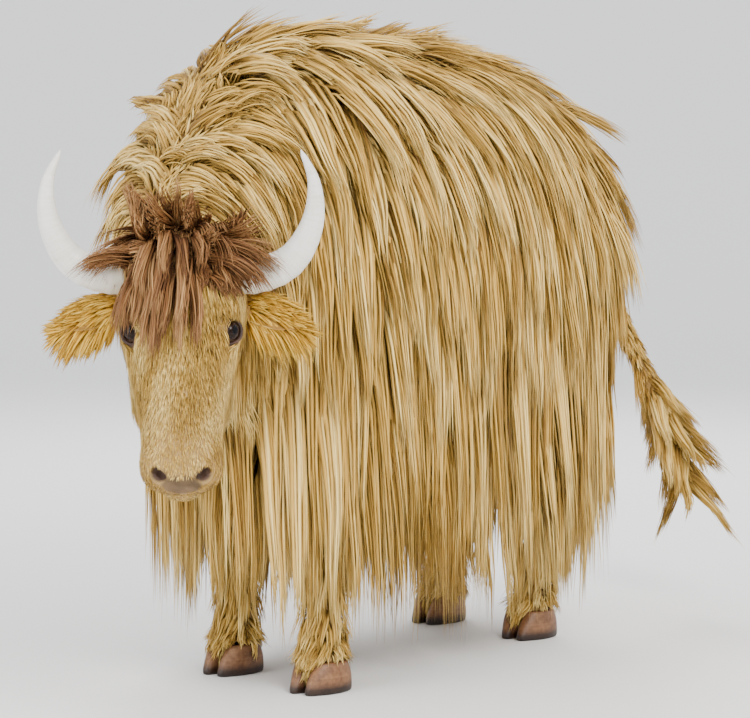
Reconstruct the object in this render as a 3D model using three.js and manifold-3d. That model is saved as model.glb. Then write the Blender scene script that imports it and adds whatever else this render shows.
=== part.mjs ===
// A life-size long-haired yak, standing square with its head low and turned to its left.
// Millimetres. +X is forward, +Y is the animal's left and +Z is up. The hooves stand on z = 0.
import * as THREE from "three";
import { mergeVertices } from "three/addons/utils/BufferGeometryUtils.js";
import Module from "manifold-3d";

const wasm = await Module();
wasm.setup();

// Driving sizes
const GAP = 0.35; // clear space kept between two nodes that meet
const SKIRT_HEM = 180; // height of the skirt's tips above the ground
const BELLY = 560; // height of the trunk's underside
const FRONT_FEET_X = 415;
const HIND_FEET_X = -450;
const FRONT_FEET_Y = 154;
const HIND_FEET_Y = 160;
const CLAW_HEIGHT = 72;
const CORONET = 66; // height at which a leg ends on its claws
const CLAW_SPREAD = 34; // from a foot's middle to the middle of each claw
const HEAD_TURN = 40; // degrees to the left of straight ahead
const HEAD_DROP = 58; // degrees of the face below the horizontal
const HEAD_PLACE = [908, 150, 985]; // inside the skull, between the horns
const EYE_RADIUS = 30;
const LID_THICKNESS = 7;
const EAR_LENGTH = 172;

const vec = (x, y, z) => new THREE.Vector3(x, y, z);
const radians = THREE.MathUtils.degToRad;
const clamp = THREE.MathUtils.clamp;
const lerp = THREE.MathUtils.lerp;

// Solids

// A closed geometry as a solid that can be joined and cut.
function solidOf(geometry) {
  const bare = geometry.clone();
  bare.deleteAttribute("normal");
  bare.deleteAttribute("uv");
  const merged = mergeVertices(bare, 1e-3);
  return new wasm.Manifold(
    new wasm.Mesh({
      numProp: 3,
      vertProperties: new Float32Array(merged.attributes.position.array),
      triVerts: new Uint32Array(merged.index.array),
    }),
  );
}

// The largest closed surface of a solid, which fills sealed hollows and drops loose scraps.
function largest(solid) {
  const pieces = solid.decompose();
  return pieces.reduce((a, b) => (b.volume() > a.volume() ? b : a));
}

const fuse = (solids) => wasm.Manifold.union(solids);
const cut = (solid, tools) => tools.reduce((a, b) => a.subtract(b), solid);

// A rotation and place whose x and z axes point as given; z is squared up to x.
function frameOf(origin, xAxis, zHint) {
  const x = xAxis.clone().normalize();
  const y = zHint.clone().cross(x).normalize();
  const z = x.clone().cross(y);
  return new THREE.Matrix4().makeBasis(x, y, z).setPosition(origin);
}

// A closed skin over oval rings. Each ring has a centre c, its across and rise directions, and
// its half-sizes half, up and down. An end may close on an apex beyond its last ring.
function tube(rings, sides, power = 2, startApex = rings[0].c, endApex = rings.at(-1).c) {
  const positions = [];
  const bend = (v) => Math.sign(v) * Math.abs(v) ** (2 / power);
  for (const ring of rings) {
    for (let i = 0; i < sides; i++) {
      const angle = (2 * Math.PI * i) / sides;
      const tall = Math.cos(angle) >= 0 ? ring.up : ring.down;
      const p = ring.c.clone();
      p.addScaledVector(ring.across, ring.half * bend(Math.sin(angle)));
      p.addScaledVector(ring.rise, tall * bend(Math.cos(angle)));
      positions.push(p.x, p.y, p.z);
    }
  }
  const start = rings.length * sides;
  positions.push(...startApex.toArray(), ...endApex.toArray());
  const faces = [];
  const last = (rings.length - 1) * sides;
  for (let i = 0; i < sides; i++) {
    const next = (i + 1) % sides;
    for (let r = 0; r < rings.length - 1; r++) {
      const a = r * sides + i;
      const b = a + sides;
      const c = (r + 1) * sides + next;
      const d = r * sides + next;
      faces.push(a, b, c, a, c, d);
    }
    faces.push(start, i, next, start + 1, last + next, last + i);
  }
  const geometry = new THREE.BufferGeometry();
  geometry.setAttribute("position", new THREE.Float32BufferAttribute(positions, 3));
  geometry.setIndex(faces);
  return solidOf(geometry);
}

// A tube along a curve. size(s) gives { half, up, down } and riseHint the way its top faces.
function sweep(curve, size, steps, sides, riseHint, power = 2) {
  const rings = [];
  for (let i = 0; i <= steps; i++) {
    const s = i / steps;
    const along = curve.getTangentAt(s);
    const across = riseHint.clone().cross(along).normalize();
    const rise = along.clone().cross(across);
    rings.push({ c: curve.getPointAt(s), across, rise, ...size(s) });
  }
  return tube(rings, sides, power);
}

const curveThrough = (points) => new THREE.CatmullRomCurve3(points);

// A body form: oval sections at stations along its frame's x axis, with smooth sizes between.
// Each key has at, top, base and half, and mid where the widest level isn't halfway up.
class Form {
  constructor(frame, keys, power = 2.2) {
    this.frame = frame;
    this.inverse = frame.clone().invert();
    this.keys = keys.map((k) => ({ mid: (k.top + k.base) / 2, ...k }));
    this.power = power;
  }

  section(at) {
    const k = this.keys;
    let i = 0;
    while (i < k.length - 2 && at > k[i + 1].at) i++;
    const span = k[i + 1].at - k[i].at;
    const t = clamp((at - k[i].at) / span, 0, 1);
    const slope = (name, j) => {
      const a = k[Math.max(j - 1, 0)];
      const b = k[Math.min(j + 1, k.length - 1)];
      return (b[name] - a[name]) / (b.at - a.at);
    };
    const smooth = (name) =>
      (2 * t ** 3 - 3 * t ** 2 + 1) * k[i][name] +
      (t ** 3 - 2 * t ** 2 + t) * span * slope(name, i) +
      (3 * t ** 2 - 2 * t ** 3) * k[i + 1][name] +
      (t ** 3 - t ** 2) * span * slope(name, i + 1);
    return { top: smooth("top"), base: smooth("base"), half: smooth("half"), mid: smooth("mid") };
  }

  // The ring at a station, in the part's frame, grown outward by grow.
  ring(at, grow = 0) {
    const s = this.section(at);
    const across = vec(0, 1, 0).transformDirection(this.frame);
    const rise = vec(0, 0, 1).transformDirection(this.frame);
    const c = vec(at, 0, s.mid).applyMatrix4(this.frame);
    return { c, across, rise, half: s.half + grow, up: s.top - s.mid + grow, down: s.mid - s.base + grow };
  }

  // Height of a point above the form's surface, below zero inside it.
  height(point) {
    const p = point.clone().applyMatrix4(this.inverse);
    const first = this.keys[0].at;
    const last = this.keys.at(-1).at;
    const s = this.section(clamp(p.x, first, last));
    const tall = p.z > s.mid ? s.top - s.mid : s.mid - s.base;
    const y = Math.abs(p.y) / s.half;
    const z = Math.abs(p.z - s.mid) / tall;
    const share = (y ** this.power + z ** this.power) ** (1 / this.power);
    const side = Math.hypot(p.y, p.z - s.mid) * (1 - 1 / Math.max(share, 1e-3));
    const end = Math.max(first - p.x, p.x - last);
    return end > 0 ? Math.hypot(Math.max(side, 0), end) : Math.max(side, end);
  }

  // The direction away from the form at a point.
  facing(point) {
    const rise = (x, y, z) => {
      const step = vec(x, y, z);
      return this.height(point.clone().add(step)) - this.height(point.clone().sub(step));
    };
    return vec(rise(5, 0, 0), rise(0, 5, 0), rise(0, 0, 5)).normalize();
  }

  // The surface at a station, at an angle round from the form's top toward its y side.
  spot(at, degrees) {
    const ring = this.ring(at);
    const bend = (v) => Math.sign(v) * Math.abs(v) ** (2 / this.power);
    const rise = bend(Math.cos(radians(degrees)));
    const place = ring.c.clone().addScaledVector(ring.across, ring.half * bend(Math.sin(radians(degrees))));
    return place.addScaledVector(ring.rise, rise * (rise > 0 ? ring.up : ring.down));
  }

  solid(sides, perKey, grow = 0) {
    const rings = [];
    for (let i = 0; i < this.keys.length - 1; i++) {
      for (let j = 0; j < perKey; j++) {
        rings.push(this.ring(lerp(this.keys[i].at, this.keys[i + 1].at, j / perKey), grow));
      }
    }
    rings.push(this.ring(this.keys.at(-1).at, grow));
    const along = vec(1, 0, 0).transformDirection(this.frame);
    const startApex = rings[0].c.clone().addScaledVector(along, -grow);
    const endApex = rings.at(-1).c.clone().addScaledVector(along, grow);
    rings[0].c = startApex;
    rings.at(-1).c = endApex;
    return tube(rings, sides, this.power);
  }
}

// Locks of hair

let seed = 11;

// A repeatable random number between two limits.
function between(low, high) {
  seed = (seed * 48271) % 2147483647;
  return lerp(low, high, seed / 2147483647);
}

const DOWN = vec(0, 0, -1);
const LOCK_RINGS = [
  [0, 0.7],
  [0.3, 1],
  [0.62, 0.86],
  [0.85, 0.48],
];

// The rings of one flat, tapered lock. It is rooted under the surface of the forms it lies over,
// keeps clear above them along its lie, and hangs more and more toward its tip.
function lockPlan(root, lie, length, half, over, { lift = 50, droop = 0.3, sink = 26, thick = 20 } = {}) {
  const nearest = (p) => over.reduce((a, b) => (b.height(p) < a.height(p) ? b : a));
  const out = nearest(root).facing(root);
  const way = lie.clone().normalize();
  const p = root.clone();
  const points = [p.clone().addScaledVector(out, -sink).addScaledVector(way, -8)];
  const steps = 4;
  for (let i = 1; i <= steps; i++) {
    p.addScaledVector(way, length / steps);
    const form = nearest(p);
    const short = lift * (i / steps) ** 0.6 - form.height(p);
    if (short > 0) p.addScaledVector(form.facing(p), short);
    points.push(p.clone());
    way.lerp(DOWN, droop).normalize();
  }
  const curve = curveThrough(points);
  const flat = out.clone().cross(lie).normalize();
  const rings = LOCK_RINGS.map(([s, share]) => {
    const along = curve.getTangentAt(s);
    const across = flat.clone().addScaledVector(along, -flat.dot(along)).normalize();
    const rise = along.clone().cross(across);
    return { c: curve.getPointAt(s), across, rise, half: half * share, up: thick * share, down: 9 * share };
  });
  return { rings, tip: curve.getPointAt(1), end: curve.getTangentAt(1) };
}

function lockSolid(plan, grow = 0) {
  const rings = plan.rings.map((r) => ({
    ...r,
    half: r.half + 8 * grow,
    up: r.up + 2 * grow,
    down: r.down + 2 * grow,
  }));
  const tip = plan.tip.clone().addScaledVector(plan.end, 6 * grow);
  const rootWay = rings[0].across.clone().cross(rings[0].rise);
  rings[0].c = rings[0].c.clone().addScaledVector(rootWay, -3 * grow);
  return tube(rings, 3, 2, rings[0].c, tip);
}

const hair = (plans, grow = 0) => fuse(plans.map((plan) => lockSolid(plan, grow)));

// Trunk: its axis is the part's x axis, and top and base are heights.
const trunkKeys = [
  { at: -728, top: 1150, base: 900, half: 92 },
  { at: -682, top: 1246, base: 760, half: 208 },
  { at: -585, top: 1346, base: 640, half: 298 },
  { at: -410, top: 1436, base: 585, half: 354 },
  { at: -200, top: 1490, base: BELLY + 5, half: 376 },
  { at: 30, top: 1514, base: BELLY, half: 384 },
  { at: 220, top: 1526, base: BELLY + 5, half: 370 },
  { at: 385, top: 1522, base: 585, half: 338 },
  { at: 520, top: 1468, base: 635, half: 292 },
  { at: 630, top: 1360, base: 715, half: 225 },
  { at: 692, top: 1228, base: 830, half: 115 },
];
const trunk = new Form(new THREE.Matrix4(), trunkKeys, 2.3);

// Neck: from inside the chest to the back of the skull.
const neckFrom = vec(540, 0, 1110);
const neckTo = vec(868, 112, 962);
const neckKeys = [
  { at: -40, top: 300, base: -320, half: 255 },
  { at: 90, top: 262, base: -300, half: 225 },
  { at: 190, top: 215, base: -270, half: 182 },
  { at: 280, top: 165, base: -222, half: 142 },
  { at: 372, top: 128, base: -165, half: 112 },
];
const neck = new Form(frameOf(neckFrom, neckTo.clone().sub(neckFrom), vec(0, 0, 1)), neckKeys);

// Skull: x runs down the face to the muzzle, z out of the forehead, y to the animal's left.
const turned = vec(Math.cos(radians(HEAD_TURN)), Math.sin(radians(HEAD_TURN)), 0);
const faceDown = turned.clone().multiplyScalar(Math.cos(radians(HEAD_DROP)));
faceDown.z = -Math.sin(radians(HEAD_DROP));
const headFrame = frameOf(vec(...HEAD_PLACE), faceDown, turned);
const skullKeys = [
  { at: -108, top: 38, base: -60, half: 54 },
  { at: -70, top: 90, base: -118, half: 106 },
  { at: 0, top: 112, base: -152, half: 130 },
  { at: 75, top: 116, base: -164, half: 136, mid: 0 },
  { at: 150, top: 108, base: -162, half: 126, mid: 0 },
  { at: 238, top: 88, base: -150, half: 107, mid: -8 },
  { at: 324, top: 70, base: -128, half: 92, mid: -14 },
  { at: 400, top: 60, base: -108, half: 88, mid: -16 },
  { at: 446, top: 54, base: -98, half: 92, mid: -14 },
  { at: 478, top: 32, base: -80, half: 78, mid: -16 },
  { at: 492, top: 2, base: -52, half: 46, mid: -22 },
];
const skull = new Form(headFrame, skullKeys, 2.3);
const inHead = (x, y, z) => vec(x, y, z).applyMatrix4(headFrame);
const headWay = (x, y, z) => vec(x, y, z).transformDirection(headFrame);
const worldUpInHead = vec(0, 0, 1).transformDirection(headFrame.clone().invert());

// Legs: x runs up, z forward, so top and base are the leg's front and back.
const frontLegKeys = [
  { at: CORONET, top: 66, base: -52, half: 60 },
  { at: 96, top: 46, base: -44, half: 43 },
  { at: 128, top: 46, base: -48, half: 45 },
  { at: 170, top: 38, base: -40, half: 37 },
  { at: 260, top: 40, base: -40, half: 38 },
  { at: 335, top: 56, base: -48, half: 52 },
  { at: 400, top: 56, base: -56, half: 54 },
  { at: 500, top: 74, base: -80, half: 66 },
  { at: 680, top: 105, base: -120, half: 88 },
];
const hindLegKeys = [
  { at: CORONET, top: 66, base: -52, half: 60 },
  { at: 96, top: 42, base: -50, half: 43 },
  { at: 130, top: 34, base: -62, half: 45 },
  { at: 180, top: 18, base: -66, half: 37 },
  { at: 300, top: -8, base: -94, half: 40 },
  { at: 400, top: -18, base: -132, half: 52 },
  { at: 450, top: 0, base: -136, half: 58 },
  { at: 540, top: 90, base: -110, half: 76 },
  { at: 700, top: 165, base: -110, half: 96 },
];
const legPlan = [
  { name: "front_left", x: FRONT_FEET_X, y: FRONT_FEET_Y, keys: frontLegKeys },
  { name: "front_right", x: FRONT_FEET_X - 50, y: -FRONT_FEET_Y, keys: frontLegKeys },
  { name: "hind_left", x: HIND_FEET_X, y: HIND_FEET_Y, keys: hindLegKeys },
  { name: "hind_right", x: HIND_FEET_X - 45, y: -HIND_FEET_Y, keys: hindLegKeys },
];
const uprightFrame = (x, y) => frameOf(vec(x, y, 0), vec(0, 0, 1), vec(1, 0, 0));
for (const leg of legPlan) leg.form = new Form(uprightFrame(leg.x, leg.y), leg.keys, 2);

// Claws: two to a foot, flat on the ground, with the toe sloping forward.
const clawKeys = [
  { at: 0, top: 86, base: -50, half: 31 },
  { at: 14, top: 85, base: -51, half: 32 },
  { at: 45, top: 69, base: -48, half: 30 },
  { at: CLAW_HEIGHT, top: 50, base: -38, half: 24 },
];
const CLAW_TOE_OUT = 4; // degrees that each claw's toe turns out

function clawForm(leg, side) {
  const frame = uprightFrame(leg.x + 6, leg.y + side * CLAW_SPREAD);
  frame.multiply(new THREE.Matrix4().makeRotationX(radians(-side * CLAW_TOE_OUT)));
  return new Form(frame, clawKeys, 2.6);
}

// Horns: out from the sides of the poll, then up and a little in at the tips.
const HORN_ROOT = [-8, 90, 50];
const HORN_TIP_RADIUS = 4;
const HORN_ROOT_RADIUS = 46;

function hornCurve(side) {
  const out = (across, rise, forward) =>
    vec(HORN_ROOT[0], side * (HORN_ROOT[1] + across), HORN_ROOT[2])
      .addScaledVector(worldUpInHead, rise)
      .add(vec(0, 0, forward))
      .applyMatrix4(headFrame);
  const points = [
    out(-25, -2, -4),
    out(66, -20, 0),
    out(144, 4, 12),
    out(192, 76, 30),
    out(196, 160, 38),
    out(168, 236, 28),
  ];
  return curveThrough(points);
}

const hornSize = (grow) => (s) => {
  const r = lerp(HORN_ROOT_RADIUS, HORN_TIP_RADIUS, s ** 1.5) + grow;
  return { half: r, up: r, down: r };
};

function hornSolid(side, grow = 0) {
  return sweep(hornCurve(side), hornSize(grow), 9, 8, headWay(0, 0, 1));
}

// Ears: cupped leaves that stand out sideways below the horns, a little drooped.
const EAR_ROOT = [48, 106, -24];
const EAR_HALF_WIDTH = 44;
const EAR_THICKNESS = 15;

function earFrame(side) {
  const along = vec(0.1, side, 0).addScaledVector(worldUpInHead, -0.2).normalize();
  return { along, open: vec(0.15, side * 0.1, 1) };
}

function earCurve(side, lift) {
  const { along, open } = earFrame(side);
  const root = vec(EAR_ROOT[0], side * EAR_ROOT[1], EAR_ROOT[2]);
  const at = (share, sag) =>
    root
      .clone()
      .addScaledVector(along, share * EAR_LENGTH)
      .addScaledVector(open, lift)
      .addScaledVector(worldUpInHead, sag)
      .applyMatrix4(headFrame);
  return curveThrough([at(0, 0), at(0.35, 6), at(0.7, 2), at(1, -12)]);
}

function earSolid(side, grow = 0) {
  const openWay = headWay(...earFrame(side).open.toArray());
  const leaf = (s) => Math.sin(Math.PI * clamp(s, 0.08, 0.985) ** 0.85);
  const outer = (s) => {
    const half = EAR_HALF_WIDTH * (0.2 + 0.8 * leaf(s)) + grow;
    const thick = EAR_THICKNESS * (0.45 + 0.55 * leaf(s)) + grow;
    return { half, up: thick, down: thick * 1.2 };
  };
  const inner = (s) => {
    const half = (EAR_HALF_WIDTH - 9) * leaf(s) + 1;
    const thick = (EAR_THICKNESS - 2) * leaf(s) + 1;
    return { half, up: thick * 1.6, down: thick };
  };
  const shell = sweep(earCurve(side, 0), outer, 6, 10, openWay);
  if (grow) return shell;
  const cupLine = earCurve(side, 7);
  const cupPart = curveThrough([0.3, 0.5, 0.75, 0.93].map((s) => cupLine.getPointAt(s)));
  return shell.subtract(sweep(cupPart, inner, 4, 8, openWay));
}

// Eyes and lids
const EYE_PLACE = [152, 95, 47];
const EYE_WAY = [0.22, 0.66, 0.72];

function eyeSolid(side, radius, detail = [10, 7]) {
  const ball = new THREE.SphereGeometry(radius, ...detail);
  ball.applyMatrix4(new THREE.Matrix4().setPosition(inHead(EYE_PLACE[0], side * EYE_PLACE[1], EYE_PLACE[2])));
  return solidOf(ball);
}

// The opening between the lids: an almond that runs outward from the eye.
function lidOpening(side) {
  const halfLength = 1.06 * EYE_RADIUS;
  const halfHeight = 0.6 * EYE_RADIUS;
  const almond = new THREE.Shape();
  almond.moveTo(-halfLength, 0);
  almond.quadraticCurveTo(-4, -2 * halfHeight, halfLength, 3);
  almond.quadraticCurveTo(0, 2.1 * halfHeight, -halfLength, 0);
  const prism = new THREE.ExtrudeGeometry(almond, { depth: 50, bevelEnabled: false, curveSegments: 3 });
  const out = headWay(EYE_WAY[0], side * EYE_WAY[1], EYE_WAY[2]);
  const slit = headWay(1, side * -0.15, 0);
  const place = inHead(EYE_PLACE[0], side * EYE_PLACE[1], EYE_PLACE[2]);
  const rise = out.clone().cross(slit).normalize();
  const along = rise.clone().cross(out);
  prism.applyMatrix4(new THREE.Matrix4().makeBasis(along, rise, out).setPosition(place));
  return solidOf(prism);
}

// An ellipsoid set in the head, with its half-sizes along the head's axes.
function blob(place, sizes, turn = [0, 0, 0], detail = [8, 6]) {
  const ball = new THREE.SphereGeometry(1, ...detail);
  const local = new THREE.Matrix4().compose(
    vec(...place),
    new THREE.Quaternion().setFromEuler(new THREE.Euler(...turn)),
    vec(...sizes),
  );
  ball.applyMatrix4(local).applyMatrix4(headFrame);
  return solidOf(ball);
}

const NOSTRIL_PLACE = [470, 40, 16];
const MOUTH_LEVEL = -56;
const MOUTH_CORNER = 345;

// The line of the mouth: a shallow groove round the front of the muzzle.
function mouthGroove() {
  const outline = new THREE.Shape();
  outline.moveTo(MOUTH_CORNER, MOUTH_LEVEL - 8);
  outline.quadraticCurveTo(420, MOUTH_LEVEL + 2, 520, MOUTH_LEVEL - 6);
  outline.lineTo(520, MOUTH_LEVEL + 2);
  outline.quadraticCurveTo(420, MOUTH_LEVEL + 8, MOUTH_CORNER, MOUTH_LEVEL - 8);
  const slab = new THREE.ExtrudeGeometry(outline, { depth: 240, bevelEnabled: false, curveSegments: 4 });
  const stand = new THREE.Matrix4().makeBasis(vec(1, 0, 0), vec(0, 0, 1), vec(0, -1, 0));
  slab.applyMatrix4(stand.setPosition(0, 120, 0)).applyMatrix4(headFrame);
  return solidOf(slab).subtract(skull.solid(14, 1, -9));
}

function nostril(side) {
  const place = [NOSTRIL_PLACE[0] + 8, side * (NOSTRIL_PLACE[1] + 4), NOSTRIL_PLACE[2] + 4];
  return blob(place, [16, 9, 15], [side * -0.5, 0, 0], [7, 5]);
}

// The skull with its brows, lids, jaw and lips, before anything is cut from it.
function skullForms(grow = 0) {
  const grown = (sizes) => sizes.map((size) => size + grow);
  const bulges = [1, -1].flatMap((side) => [
    blob([145, side * 90, 43], grown([58, 39, 47])),
    blob([116, side * 86, 67], grown([48, 32, 32]), [0, 0, side * -0.5]),
    eyeSolid(side, EYE_RADIUS + LID_THICKNESS + grow, [10, 7]),
    blob([NOSTRIL_PLACE[0] - 15, side * NOSTRIL_PLACE[1], NOSTRIL_PLACE[2]], grown([32, 30, 29])),
    blob([205, side * 66, -102], grown([118, 44, 54])),
  ]);
  const lip = blob([452, 0, -92], grown([36, 52, 24]));
  return fuse([skull.solid(16, 1, grow), ...bulges, lip]);
}

function headSolid() {
  const removed = [1, -1].flatMap((side) => [
    eyeSolid(side, EYE_RADIUS + GAP),
    lidOpening(side),
    nostril(side),
  ]);
  return cut(skullForms(), [...removed, mouthGroove()]);
}

// Tail: held out behind and to the left, with a full switch.
const tailCurve = curveThrough([
  vec(-690, 0, 1170),
  vec(-798, 18, 1098),
  vec(-884, 62, 935),
  vec(-955, 124, 755),
  vec(-1008, 172, 615),
]);
const switchCurve = curveThrough([
  vec(-986, 152, 675),
  vec(-1026, 190, 560),
  vec(-1060, 226, 445),
  vec(-1084, 256, 320),
]);
const tailSize = (grow) => (s) => {
  const r = lerp(42, 24, s) + grow;
  return { half: r, up: r, down: r };
};
const switchSize = (grow) => (s) => {
  const r = 20 + 26 * Math.sin(Math.PI * clamp(s, 0, 1) ** 0.8) + grow;
  return { half: r, up: r, down: r };
};
const tailSolid = (grow = 0) => sweep(tailCurve, tailSize(grow), 7, 8, vec(1, 0, 0));
const switchSolid = (grow = 0) => sweep(switchCurve, switchSize(grow), 7, 8, vec(1, 0, 0));

// Coat: rows of locks from the back down to the skirt's hem. Each row has an angle round from
// the top, the locks' length, half-width and lie, and how far they stand off the trunk.
const coatRows = [
  {
    angle: 11, from: -560, to: 590, every: 190, length: 260, half: 74,
    lie: [-0.8, 0.7, -0.22], lift: 54, droop: 0.24,
  },
  {
    angle: 40, from: -650, to: 650, every: 184, length: 300, half: 76,
    lie: [-0.35, 0.8, -0.8], lift: 56, droop: 0.3,
  },
  {
    angle: 68, from: -600, to: 620, every: 174, length: 345, half: 76,
    lie: [-0.15, 0.2, -1], lift: 60, droop: 0.3,
  },
  {
    angle: 92, from: -660, to: 600, every: 162, length: 400, half: 74,
    lie: [-0.1, 0.05, -1], lift: 58, droop: 0.3,
  },
  {
    angle: 116, from: -610, to: 580, every: 152, length: 500, half: 72,
    lie: [-0.05, 0, -1], lift: 48, droop: 0.3,
  },
];

const torsoLocks = [];
for (const row of coatRows) {
  for (const side of [1, -1]) {
    const count = Math.round((row.to - row.from) / row.every);
    for (let i = 0; i <= count; i++) {
      const at = lerp(row.from, row.to, i / count) + between(-18, 18);
      const [x, y, z] = row.lie;
      const root = trunk.spot(at, side * (row.angle + between(-4, 4)));
      const lie = vec(x + between(-0.18, 0.12), side * y, z);
      const long = row.length * between(0.88, 1.12);
      const lift = row.lift + (i % 2) * (row.angle < 20 ? 20 : 10) + between(-6, 10);
      const half = row.half * between(0.88, 1.1);
      torsoLocks.push(lockPlan(root, lie, long, half, [trunk], { lift, droop: row.droop }));
    }
  }
}
// Hem: long locks that hang straight from the flanks and under the belly.
for (const side of [1, -1]) {
  for (let at = -570; at <= 560; at += 152) {
    const besideLeg = legPlan.some((leg) => Math.abs(leg.x - at) < 135);
    const root = trunk.spot(at + between(-12, 12), side * (besideLeg ? 122 : 137));
    const long = root.z - SKIRT_HEM - between(-10, 60);
    const lie = vec(between(-0.08, 0.08), side * 0.35, -1);
    torsoLocks.push(lockPlan(root, lie, long, 66 * between(0.9, 1.1), [trunk], { lift: 40, droop: 0.5 }));
  }
}
// Chest and rump: each ring has its station, angles, hem height and lean forward.
for (const [at, angles, hem, forward] of [
  [590, [148, 172], 225, 0.15],
  [645, [66, 98, 128, 160], 290, 0.1],
  [676, [122, 158], 400, 0.1],
  [-640, [146, 172], 250, -0.15],
  [-676, [34, 70, 104, 136, 166], 330, -0.3],
  [-712, [50, 88, 126], 480, -0.3],
]) {
  for (const angle of angles) {
    for (const side of [1, -1]) {
      const root = trunk.spot(at, side * (angle + between(-5, 5)));
      const long = Math.min(root.z - hem, 470) * between(0.92, 1.1);
      const lie = vec(forward, side * between(0.02, 0.15), -1);
      const lift = at > 0 && angle < 110 ? 34 : between(40, 60);
      torsoLocks.push(lockPlan(root, lie, long, 60, [trunk], { lift, droop: 0.4 }));
    }
  }
}

// Mane and throat
const neckLocks = [];
for (const [at, angles, lift] of [
  [132, [12, 44], 70],
  [186, [28, 64, 100, 136, 166], 92],
  [254, [4, 48, 88, 124, 158], 78],
  [312, [28, 80, 124, 162], 42],
]) {
  for (const angle of angles) {
    for (const side of [1, -1]) {
      const root = neck.spot(at, side * (angle + between(-4, 4)));
      if (trunk.height(root) < (angle < 50 ? 12 : 45)) continue;
      const aside = angle < 70 ? 0.6 : 0.06;
      const lie = angle < 30 ? vec(-0.45, side * 0.8, -0.25) : vec(-0.08, side * aside, -1);
      const long = (angle > 150 ? 205 : angle > 110 ? 255 : 190) * between(0.85, 1.15);
      const droop = angle < 70 ? 0.25 : 0.4;
      const half = 50 * between(0.9, 1.1);
      const over = { lift: lift + between(-5, 10), droop };
      neckLocks.push(lockPlan(root, lie, long, half, [neck, trunk], over));
    }
  }
}

// Forelock: over the brow from between the horns, with short tufts upright on the poll.
const headLocks = [];
for (const [at, spread, count, length, lift] of [
  [-62, 50, 3, 190, 88],
  [-20, 56, 5, 240, 74],
  [22, 74, 5, 225, 56],
]) {
  for (let i = 0; i < count; i++) {
    const share = count > 1 ? (2 * i) / (count - 1) - 1 : 0;
    const angle = (share * spread * 60) / 84;
    const root = skull.spot(at, angle + between(-3, 3));
    const lie = headWay(1, share * 0.22, 0.15);
    const long = length * between(0.85, 1.12) * (1 - 0.4 * share * share);
    const half = 27 * between(0.9, 1.15);
    headLocks.push(lockPlan(root, lie, long, half, [skull], { lift, droop: 0.08, sink: 20, thick: 15 }));
  }
}
for (const share of [-0.9, -0.1, 0.7]) {
  const root = skull.spot(-58, share * 48);
  const lie = headWay(-0.55, share * 0.4, 1);
  const upright = { lift: 104, droop: -0.08, sink: 22, thick: 14 };
  headLocks.push(lockPlan(root, lie, between(95, 130), 22, [skull], upright));
}
// Cheeks and beard
for (const [at, angle, length] of [
  [95, 118, 120],
  [150, 140, 130],
  [205, 124, 95],
  [225, 158, 120],
]) {
  for (const side of [1, -1]) {
    const root = skull.spot(at, side * angle);
    const lie = headWay(-0.1, side * 0.3, -1);
    headLocks.push(lockPlan(root, lie, length, 24, [skull], { lift: 34, droop: 0.25, sink: 18, thick: 14 }));
  }
}

// Legs: feathering that widens over the claws.
for (const leg of legPlan) {
  leg.locks = [];
  for (const [at, count, length, turn] of [[290, 4, 160, 30], [205, 5, 135, 0]]) {
    for (let i = 0; i < count; i++) {
      const root = leg.form.spot(at + between(-10, 10), turn + (360 * i) / count);
      const out = leg.form.facing(root);
      const lie = vec(out.x * 0.25, out.y * 0.25, -1);
      const lift = 32 + (i % 2) * 8;
      leg.locks.push(lockPlan(root, lie, length, 29, [leg.form], { lift, droop: 0.1, sink: 16, thick: 12 }));
    }
  }
}

// Tail switch: long locks that spread from the dock and hang.
const switchLocks = [];
const switchForm = { height: (p) => switchCore(p).height, facing: (p) => switchCore(p).facing };

// The nearest of a line of round cores down the middle of the switch.
function switchCore(p) {
  let best = { height: Infinity };
  for (let i = 0; i <= 24; i++) {
    const c = switchCurve.getPointAt(i / 24);
    const height = c.distanceTo(p) - switchSize(0)(i / 24).half;
    if (height < best.height) best = { height, facing: p.clone().sub(c).normalize() };
  }
  return best;
}
for (const [s, count, length, turn] of [[0.08, 4, 230, 0], [0.36, 5, 220, 36], [0.66, 5, 180, 0]]) {
  for (let i = 0; i < count; i++) {
    const along = switchCurve.getTangentAt(s);
    const out = vec(1, 0, 0).cross(along).normalize();
    out.applyAxisAngle(along, radians(turn + (360 * i) / count));
    const root = switchCurve.getPointAt(s).addScaledVector(out, switchSize(0)(s).half);
    const lie = along.clone().addScaledVector(out, 0.35);
    const lift = between(26, 44);
    const long = length * between(0.9, 1.1);
    switchLocks.push(lockPlan(root, lie, long, 30, [switchForm], { lift, droop: 0.2, sink: 18, thick: 15 }));
  }
}

// Nodes

const materials = {
  coat: new THREE.MeshStandardMaterial({ color: 0xb5975d, roughness: 0.85 }),
  forelock: new THREE.MeshStandardMaterial({ color: 0x8c6144, roughness: 0.8 }),
  ear: new THREE.MeshStandardMaterial({ color: 0xba933e, roughness: 0.85 }),
  horn: new THREE.MeshStandardMaterial({ color: 0xececec, roughness: 0.35 }),
  hoof: new THREE.MeshStandardMaterial({ color: 0x6e432d, roughness: 0.5 }),
  eye: new THREE.MeshStandardMaterial({ color: 0x140f0c, roughness: 0.1 }),
};

const yak = new THREE.Group();
const head = new THREE.Group();
head.applyMatrix4(headFrame);
yak.add(head);

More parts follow.
